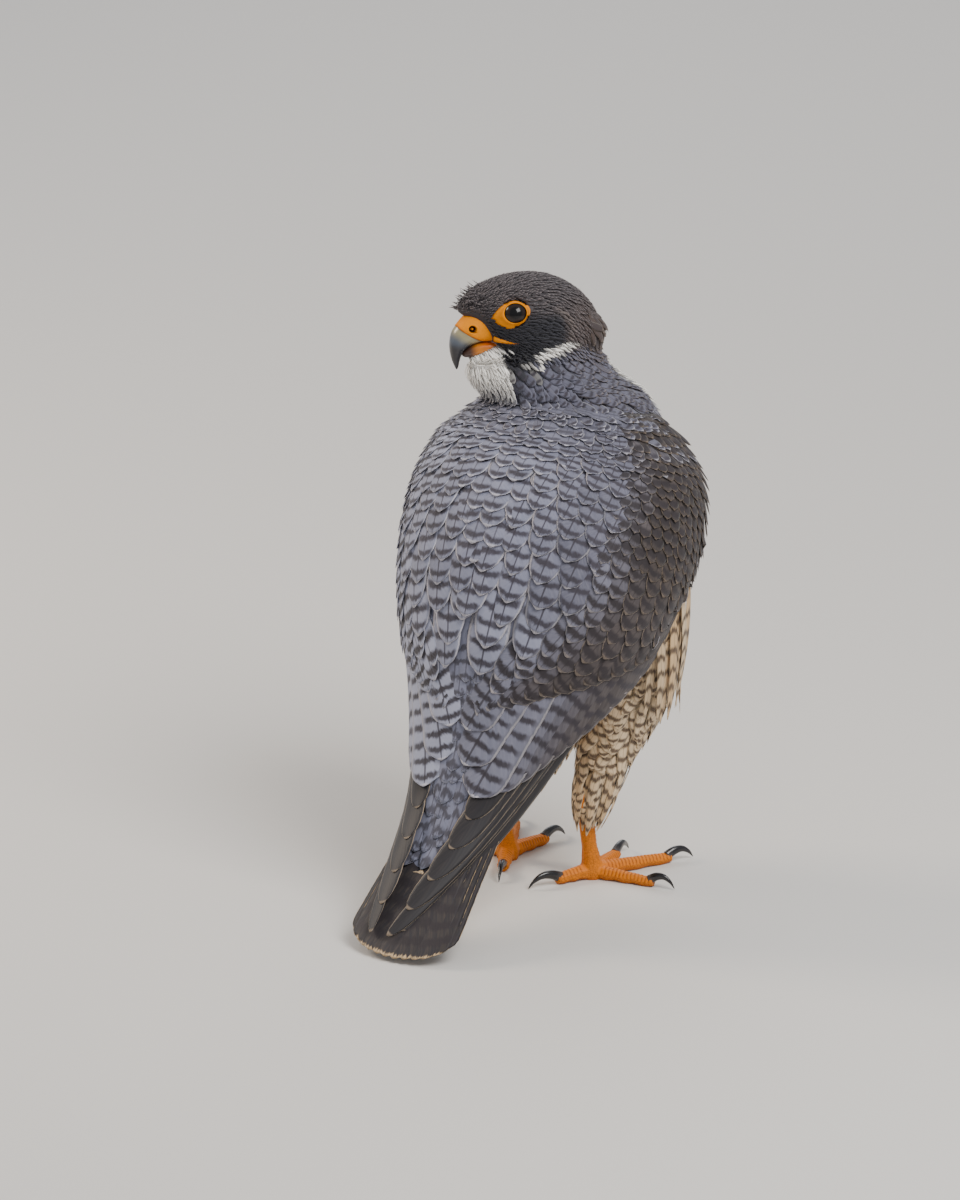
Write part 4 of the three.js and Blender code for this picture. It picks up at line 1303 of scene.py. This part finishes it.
def flank_plumes(side, word):
    """Long loose feathers that hang from the flank over the thigh."""
    count = 22
    k = np.arange(count)
    turn = np.radians(np.linspace(-88, 30, count) + rng.normal(0, 2, count))
    reach = 31 + rng.normal(0, 1.0, count) + 2 * (k % 3)
    out = np.stack([side * np.cos(turn), np.sin(turn), 0 * turn], 1)
    thigh = np.array([side * 38.0, SHIFT[1] - 203, 0])
    high = 176 + rng.normal(0, 4, count)
    roots, _ = on_skin(thigh + out * 40 + high[:, None] * [0, 0, 1])
    low = 106 + 9 * np.sin(k * 2.4) + rng.normal(0, 4, count)
    ends = thigh + out * reach[:, None] + low[:, None] * [0, 0, 1]
    plumes(f"flank_plumes_{word}", roots, ends, out, unit(out + [0, 0, 0.25]),
           lambda n: 4.4 + rng.normal(0, 0.6, n), 7, 30, 0.02, period=0.15, bar_width=0.32, fringe=0.05,
           tip=0.02, bow=-0.04)


def shank_plumes(side, word):
    """Pointed feathers that hang from the lower leg over the bare shank."""
    count = 40
    turn = np.linspace(0, 2 * math.pi, count, endpoint=False) + rng.normal(0, 0.1, count)
    out = np.stack([np.cos(turn), np.sin(turn), 0 * turn], 1)
    high = np.array([74.0, 64.0, 69.0, 59.0])[np.arange(count) % 4]
    middle = np.stack([side * np.interp(high, [52, 66, 84], [30, 31, 33]),
                       SHIFT[1] - np.interp(high, [52, 66, 84], [184, 190, 198]), high], 1)
    roots, _ = on_skin(middle + out * 20)
    low = rng.uniform(29, 42, count)
    ends = foot_middle(side) + [0, 5, 0] + low[:, None] * [0, 0, 1]
    ends = ends + out * rng.uniform(6, 8.5, (count, 1))
    plumes(f"shank_plumes_{word}", roots, ends, out, out, lambda n: rng.uniform(2.6, 3.6, n), 5, 12, 0.01,
           period=0.2, bar_width=0.36, fringe=0.06, tip=0.03, bow=0.05)


forehead_bristles()
chin_feathers()
nape_feathers()
for side, word in SIDES:
    flank_plumes(side, word)
    shank_plumes(side, word)


# Feathers of the back and wings


def cloak_unwrap(s, angle):
    return np.stack([(angle + 40) / 260, s / 370], 1)


def mantle_edge(s):
    """The mantle's half width, in degrees from the middle of the back."""
    return np.interp(s, [243, 255, 282, 305, 338, 352, 366], [1, 6, 13, 21, 34, 52, 74])


def scapular_edge(s):
    """The shoulder feathers' outer edge, in degrees from the middle of the back."""
    return np.interp(s, [171, 180, 190, 205, 220, 244, 265, 338, 352], [8, 17, 26, 37, 43, 47, 50, 50, 60])


def tract_colours_with_painted_light(s, angle):
    """Ground and edge colours over the back: paler on its left, which is painted light, and near its lower
    end; darker by the neck, and darker on the outer side of the right shoulder, which is painted shade."""
    # Painted light: the back is paler towards its left side.
    left = smooth(75, 40, angle)
    ground = mix(SLATE, SLATE_PALE, np.clip(left * 0.85 + 0.5 * smooth(245, 200, s), 0, 1))
    # The first term darkens the back by the neck; the second is painted shade on the outer right shoulder.
    dark = smooth(310, 350, s) * 0.85 + 0.95 * smooth(100, 132, angle) * smooth(190, 235, s)
    ground = mix(ground, SLATE_DARK, np.clip(dark, 0, 1))
    return ground, mix(EDGE_PALE, SLATE_PALE, 0.5 * smooth(315, 352, s))


def going_down(top, bottom, step):
    """Places from top down to bottom, step(place) apart."""
    places = []
    while top > bottom:
        places.append(top)
        top = top - step(top)
    return places


def tip_rows(s_values, spacing, low, high):
    """Staggered tips: an angle from low(s) to high(s), spacing(s) millimetres apart."""
    s_all, a_all = [], []
    for k, s in enumerate(s_values):
        middle = (low(s) + high(s)) / 2
        degree = max(np.linalg.norm(cloak(s, middle + 1) - cloak(s, middle)), 0.2)
        count = max(int(round((high(s) - low(s)) * degree / spacing(s))), 1)
        part = (np.arange(count) + 0.5 + (0.22 if k % 2 else -0.22) * (count > 1)) / count
        s_all.append(np.full(count, s))
        a_all.append(low(s) + (high(s) - low(s)) * part)
    s_all, a_all = np.concatenate(s_all), np.concatenate(a_all)
    return s_all + rng.normal(0, 0.7, len(s_all)), a_all + rng.normal(0, 0.6, len(a_all))


def ramp(*points):
    """A level line through (place, value) points, straight between them."""
    places, values = zip(*points)
    return lambda s: np.interp(s, places, values)


def mantle():
    tip, tip_a = tip_rows(going_down(353, 243, ramp((245, 9.8), (300, 9), (330, 8), (362, 6.5))),
                          ramp((245, 15), (270, 14.5), (330, 11.5), (362, 8.5)),
                          lambda s: 90 - mantle_edge(s), lambda s: 90 + mantle_edge(s))
    root = np.minimum(tip + ramp((245, 32), (300, 27), (362, 19))(tip), HIGHEST_ROOT)
    paths, normals = on_cloak(root, tip_a + (tip_a - 90) * 0.10, tip, tip_a, BACK_ROWS)
    # Ground colours carry painted light on the left and painted shade on the right shoulder.
    ground, edge = tract_colours_with_painted_light(tip, tip_a)
    width = ramp((245, 10.5), (270, 10), (330, 8.2), (362, 6.2))(tip)
    bar = mix(BAR, ground * 0.78, 0.7 * smooth(318, 350, tip))
    lay("mantle", dict(period=0.30, last=0.16, bar_width=0.36, bar_reach=0.98, fringe=0.13, tip=0.055,
                       shaft=0.6, bow=0.06),
        paths, normals, width, BACK_ROWS, 7, -3.0 + 3.6 * BACK_ROWS, cloak_unwrap(tip, tip_a),
        "back_feathers", ground, edge, bar, patch=0.02, ruffle=0.22)


def scapulars(side, word):
    tip, out = tip_rows(going_down(344, 172, ramp((172, 19), (200, 18), (240, 15), (300, 10), (340, 7))),
                        ramp((172, 19), (200, 18), (240, 16), (300, 13), (340, 9)),
                        ramp((172, 1), (200, -3), (236, -4), (262, 5), (282, 11), (305, 17), (350, 40)),
                        scapular_edge)
    length = ramp((172, 60), (200, 54), (240, 42), (300, 29), (340, 20))(tip)
    root_a, tip_a = mirrored(90 - (out * 1.06 + 1.5), side), mirrored(90 - out, side)
    paths, normals = on_cloak(np.minimum(tip + length, 356), root_a, tip, tip_a, BACK_ROWS)
    # Ground colours carry painted light on the left and painted shade on the right shoulder.
    ground, edge = tract_colours_with_painted_light(tip, tip_a)
    width = ramp((172, 12.5), (200, 12), (240, 10.8), (300, 8.8), (340, 6.2))(tip)
    lay(f"scapulars_{word}", dict(period=0.20, last=0.12, bar_width=0.38, bar_reach=1.05, fringe=0.10,
                                  tip=0.028, shaft=0.85, bow=0.035),
        paths, normals, width, BACK_ROWS, 9, -2.6 + 3.4 * BACK_ROWS, cloak_unwrap(tip, tip_a),
        "back_feathers", ground, edge, patch=0.028, ruffle=0.22)


def wing_angle(s, v):
    """On the left wing, the angle at part v of the way from the lower edge up to the inner edge."""
    return WING_LOWER(s) + (WING_UPPER(s) - WING_LOWER(s)) * v


def wing_colours_with_painted_light(s, v, side):
    """Ground and edge colours of a wing: the right one brown but for its inner end, the left one slate.
    The right one's brown, its buff fringes and its darker slate are partly painted shade and warm light;
    the left one's paler slate is painted light.
    """
    if side < 0:
        # Right wing: brown, and slate darker towards its lower edge; partly its own colour, partly painted
        # shade and warm light.
        brown = np.clip(0.2 + 0.68 * smooth(0.95, 0.5, v) + 0.4 * smooth(240, 290, s), 0, 0.95)
        slate = mix(SLATE_DARK, SLATE, smooth(0.3, 1.0, v))
    else:
        brown = 0.15 * smooth(240, 320, s) + 0.1 * smooth(0.4, 0.0, v)
        # Left wing: paler slate, most towards its upper edge, which is painted light.
        slate = mix(SLATE, SLATE_PALE, 0.35 + 0.65 * smooth(0.1, 0.7, v))
    ground = mix(slate, BROWN, brown)
    # The fringes turn buff with the brown, so they carry part of the same painted warm light.
    edge = mix(EDGE_PALE, EDGE_BUFF, np.clip(brown * 1.1, 0, 1))
    return ground, edge


def small_coverts(side, word):
    tip, a = tip_rows(going_down(353, 266, ramp((266, 7.2), (350, 4.8))), ramp((266, 8.2), (350, 5.2)),
                      lambda s: WING_LOWER(s) - 4, lambda s: 93 - scapular_edge(s))
    v = (a - WING_LOWER(tip)) / (WING_UPPER(tip) - WING_LOWER(tip))
    root = np.minimum(tip + ramp((266, 21), (350, 14))(tip), HIGHEST_ROOT)
    tip_a = mirrored(a, side)
    paths, normals = on_cloak(root, mirrored(wing_angle(root, v), side), tip, tip_a, SMALL_ROWS)
    ground, edge = wing_colours_with_painted_light(tip, v, side)
    ground = ground * (1 + rng.normal(0, 0.10, (len(tip), 1)))
    lay(f"small_coverts_{word}", dict(period=0.5, last=0.24, bar_width=0.45, bar_reach=1.0, fringe=0.11,
                                      tip=0.05),
        paths, normals, ramp((266, 6.2), (350, 3.9))(tip), SMALL_ROWS, 5, -3.0 + 3.4 * SMALL_ROWS,
        cloak_unwrap(tip, tip_a), "wing_feathers", ground, edge, BAR_DARK, patch=0.012, ruffle=0.3)


LONG_COVERTS = 14


def coverts(side, word):
    """Rounded rows over the middle of the wing, then one row of long ones over its hinder feathers."""
    rows_s, rows_v = [], []
    for k in range(12):
        count = 8 - k // 4
        v = (np.arange(count) + 0.5 + (0.22 if k % 2 else -0.22)) / count
        s = 266 - 10.5 * k - 16 * (v - 0.4)
        keep = (s > 226 - 62 * v) & (wing_angle(s, v) < 94 - scapular_edge(s))
        rows_s.append(s[keep])
        rows_v.append(v[keep])
    tip = np.concatenate(rows_s)
    tip = tip + rng.normal(0, 0.9, len(tip))
    short = slice(len(tip))
    long = slice(len(tip), None)
    long_v = np.linspace(-0.04, 0.88, LONG_COVERTS)
    length = np.append(ramp((165, 46), (266, 28))(tip), np.full(LONG_COVERTS, 62.0))
    width = np.append(ramp((165, 9.8), (266, 8.2))(tip), np.full(LONG_COVERTS, 8.8))
    tip, v = np.append(tip, 218 - 70 * long_v), np.append(np.concatenate(rows_v), long_v)
    root = tip + length
    tip_a = mirrored(wing_angle(tip, v), side)
    paths, normals = on_cloak(root, mirrored(wing_angle(root, v), side), tip, tip_a, BACK_ROWS)
    ground, edge = wing_colours_with_painted_light(tip, v, side)
    for part, chosen, height, shape, finish in (
            ("coverts", short, 3.1, "round", dict(period=0.26, last=0.15, fringe=0.09, tip=0.035)),
            ("long_coverts", long, 2.5, "long", dict(period=0.135, last=0.08, fringe=0.075, tip=0.018))):
        lay(f"{part}_{word}", dict(bar_reach=1.1, shaft=0.6, **finish), paths[chosen], normals[chosen],
            width[chosen], BACK_ROWS, 7, -2.6 + height * BACK_ROWS, cloak_unwrap(tip, tip_a)[chosen],
            "wing_feathers", ground[chosen], edge[chosen], BAR_DARK, shape=shape, patch=0.024, ruffle=0.15)


# Each secondary's tip, from the innermost out: its place along the body and its angle on the left wing.
SECONDARY_TIPS = [(146, 84), (124, 80), (107, 65), (115, 49), (124, 41), (134, 34), (144, 27), (155, 20),
                  (166, 13), (177, 7), (188, 1), (199, -5), (210, -11)]


def secondaries(side, word):
    tip_s, tip_a = np.array(SECONDARY_TIPS, float).T
    tip_a = mirrored(tip_a, side)
    k = np.arange(len(tip_s))
    v_root = 0.93 - 0.95 * (k / (len(k) - 1)) ** 0.8
    root_s = tip_s + np.interp(k, [0, 3, 12], [88, 112, 100])
    root_a = mirrored(wing_angle(root_s, v_root), side)
    paths, normals = on_cloak(root_s, root_a, tip_s, tip_a, LONG_ROWS, 0.9)
    ground, edge = wing_colours_with_painted_light(tip_s, 1 - k / 14, side)
    width = np.interp(k, [0, 2, 3, 12], [13.5, 14, 11, 9])
    lift = (0.9 - 0.2 * k) * (k < 3)
    rise = -3.3 + lift[:, None] + (2.3 - 0.03 * k[:, None]) * LONG_ROWS[None] ** 0.7
    lay(f"secondaries_{word}", dict(period=0.098, last=0.062, bar_width=0.38, fringe=0.075, bar_reach=1.0,
                                    tip=0.014, shaft=0.8, bow=0.012, rough_bars=0.035),
        paths, normals, width, LONG_ROWS, 9, rise, cloak_unwrap(tip_s + 25, tip_a), "wing_feathers", ground,
        mix(edge, EDGE_PALE, 0.45), mix(BAR, BAR_DARK, 0.5), shape="long", patch=0.045, tilt=-0.09 * side)


# Each primary's tip, from the innermost out: its place along the body, and its part of the way up from the
# folded primaries' lower edge to their upper one, which stands at an angle of 86.
PRIMARY_TIPS = [(180, 0.80), (158, 0.76), (136, 0.72), (114, 0.68), (94, 0.67), (74, 0.66), (52, 0.66),
                (31, 0.64), (12, 0.55), (18, 0.32)]
PRIMARY_ROOT = 222.0
PRIMARY_UPPER = 86


def primaries(side, word):
    """From the innermost on top to the outermost underneath."""
    tip_s, tip_q = np.array(PRIMARY_TIPS, float).T
    k = np.arange(len(tip_s))
    s = from_to(np.full(len(k), PRIMARY_ROOT), tip_s, LONG_ROWS[None])
    lane = from_to(0.66 - 0.064 * k, tip_q, LONG_ROWS[None] ** 2)
    low = PRIMARY_LOWER(s)
    a = mirrored(low + (PRIMARY_UPPER - low) * lane, side)
    width = np.interp(k, [0, 4, 9], [9.0, 8.6, 7.2]) * np.minimum(1, CLOAK_WIDTH(tip_s) / 18)
    sink = (1.1 + 0.22 * k)[:, None] + 3.2 * smooth(105, 185, s)
    lay(f"primaries_coat_{word}", dict(fringe=0.055, tip=0.009, streak=0.08, roughness=0.5, torn=0.03),
        cloak(s, a), cloak_normal(s, a), width, LONG_ROWS, 9, -sink,
        cloak_unwrap(tip_s + 15, mirrored(np.interp(k, [0, 9], [70, 5]), side)), "flight_feathers", FLIGHT,
        mix(FLIGHT, FLIGHT_EDGE, 0.78), BAR_DARK, sides=60, shape="long", patch=0.06,
        replaces=(f"primaries_{word}",), thick=0.3, tilt=-0.07 * side)


def on_tail(s, l, over):
    """Places over the tail's mid plane, with its upward direction."""
    p = place(s, over, l)
    return p, unit(place(s, np.asarray(over) + 1, l) - p)


def tail():
    """Six feathers a side, the middle pair on top."""
    k = np.repeat(np.arange(6), 2)
    side = np.tile([1.0, -1.0], 6)
    t = LONG_ROWS[None]
    tip_s = 1.2 + np.array([0, 1.0, 2.5, 4.5, 7.5, 12])[k]
    s = TAIL_BASE + 6 + (tip_s - TAIL_BASE - 6)[:, None] * t
    l = side[:, None] * from_to(1.5 + 3.0 * k, np.array([3.0, 9, 15, 20, 24, 27])[k], t)
    out = np.clip(l / TAIL_WIDTH(s), -1, 1)
    vault = 5 * (1 - out ** 2) * np.minimum(s / 60, 1)
    swing = -9 * (1 - s / TAIL_BASE)
    order = 0.28 * k[:, None] + 0.14 * (side[:, None] < 0)
    paths, normals = on_tail(s, l + swing, vault + 1.9 - order)
    lay("tail_coat", dict(period=0.085, last=0.085, bar_width=0.5, fringe=0.02, tip=0.016, band=0.02,
                          streak=0.12, bow=0.01, rough_bars=0.03, roughness=0.6, torn=0.5),
        paths, normals, np.interp(k, [0, 5], [11.5, 9.5]), LONG_ROWS, 9, 0,
        np.stack([(l[:, -1] + 40) / 80, 0.3 + 0 * tip_s], 1), "tail_feathers",
        mix(TAIL_GROUND, FLIGHT, k / 7), TAIL_TIP, BAR_DARK, sides=400, shape="blunt", patch=0.08,
        replaces=("tail",), thick=0.3)


def tail_coverts():
    """Soft feathers over the rump and the root of the tail, between the wings."""
    rows = []
    for r, tip in enumerate(going_down(176.0, 60, lambda s: 9.5)):
        count = (5 if tip < 100 else 3) - r % 2
        for c in range(count):
            rows.append((tip + rng.normal(0, 2), (c - (count - 1) / 2) * 7.5 + rng.normal(0, 1)))
    tip, l = np.array(rows).T
    count = len(tip)
    length = ramp((62, 46), (196, 34))(tip) + rng.normal(0, 2, count)
    t = BACK_ROWS[None]
    along = tip[:, None] + length[:, None] * (1 - t)
    lane = l[:, None] * (1 - 0.1 * t) + hind_swing(along)
    across = np.clip(lane / CLOAK_WIDTH(along), -0.95, 0.95)
    high = CLOAK_BACK(along) * np.sqrt(1 - across ** 2) - 1.2 - 0.1 * np.abs(lane)
    low = np.interp(along, [60, 80, 100, 118], [7.6, 12, 20, 28]) - 0.008 * lane ** 2
    paths, normals = on_tail(along, lane, low + (high - low) * smooth(100, 124, along))
    width = ramp((62, 8), (196, 9.5))(tip) + rng.normal(0, 0.5, count)
    lay("tail_coverts", dict(period=0.26, last=0.13, bar_width=0.34, bow=-0.12, fringe=0.06, tip=0.03,
                             shaft=0.7, rough_bars=0.2),
        paths, normals, width, BACK_ROWS, 7, -2.2 + 2.0 * BACK_ROWS, np.stack([(l + 40) / 80, tip / 370], 1),
        "back_feathers", mix(SLATE, SLATE_DARK, rng.uniform(0.1, 0.5, count)), SLATE_PALE,
        mix(BAR_DARK, SLATE, 0.2), sides=30, patch=0.03, ruffle=0.3)


mantle()
for side, word in SIDES:
    scapulars(side, word)
for side, word in SIDES:
    small_coverts(side, word)
    coverts(side, word)
    secondaries(side, word)
    primaries(side, word)
tail()
tail_coverts()


# The floor, the light and the camera

BACKDROP = srgb(214, 211, 207)
bpy.ops.mesh.primitive_plane_add(size=60, location=(0, 0, 0))
floor = bpy.context.object
floor.name = "floor"
floor_look = Shader("floor", 0.9, Specular_IOR_Level=0.1)
floor_look.feed(floor_look.surface.inputs["Base Color"], BACKDROP)
floor.data.materials.append(floor_look.material)


def towards(azimuth, elevation):
    """A direction from the bird, with azimuth 0 in front of it and 90 on its left."""
    a, e = math.radians(azimuth), math.radians(elevation)
    return Vector((math.sin(a) * math.cos(e), -math.cos(a) * math.cos(e), math.sin(e)))


def aimed(item, target, away, distance):
    """Sets a camera or lamp looking at the target from a distance."""
    item.location = target + away * distance
    item.rotation_euler = away.to_track_quat("Z", "Y").to_euler()
    bpy.context.scene.collection.objects.link(item)


# The photograph: its scale, and the way the lens looks.
MM_PER_PIXEL = 0.57
PHOTO_HEIGHT = 1200
DISTANCE = 8.0
SENSOR = 36
TARGET = Vector((0.75, 22.1, 184.6)) * MM
camera = bpy.data.objects.new("camera", bpy.data.cameras.new("camera"))
camera.data.sensor_width = SENSOR
camera.data.lens = SENSOR * DISTANCE / (PHOTO_HEIGHT * MM_PER_PIXEL * MM)
aimed(camera, TARGET, towards(213, 19), DISTANCE)
bpy.context.scene.camera = camera


def lamp(name, azimuth, elevation, distance, size, watts, colour):
    light = bpy.data.objects.new(name, bpy.data.lights.new(name, "AREA"))
    light.data.size = size
    light.data.energy = watts
    light.data.color = colour
    aimed(light, Vector((0, 0, 0.2)), towards(azimuth, elevation), distance)


lamp("key", 255, 50, 1.8, 1.0, 34, (1.0, 0.98, 0.95))
lamp("rim", 100, 30, 1.6, 0.5, 14, (1.0, 0.86, 0.70))
lamp("fill", 30, 35, 2.4, 1.6, 16, (0.95, 0.97, 1.0))
world = bpy.data.worlds.new("world")
world.use_nodes = True
background = world.node_tree.nodes["Background"]
background.inputs["Color"].default_value = (0.86, 0.88, 0.92, 1)
background.inputs["Strength"].default_value = 0.55
bpy.context.scene.world = world
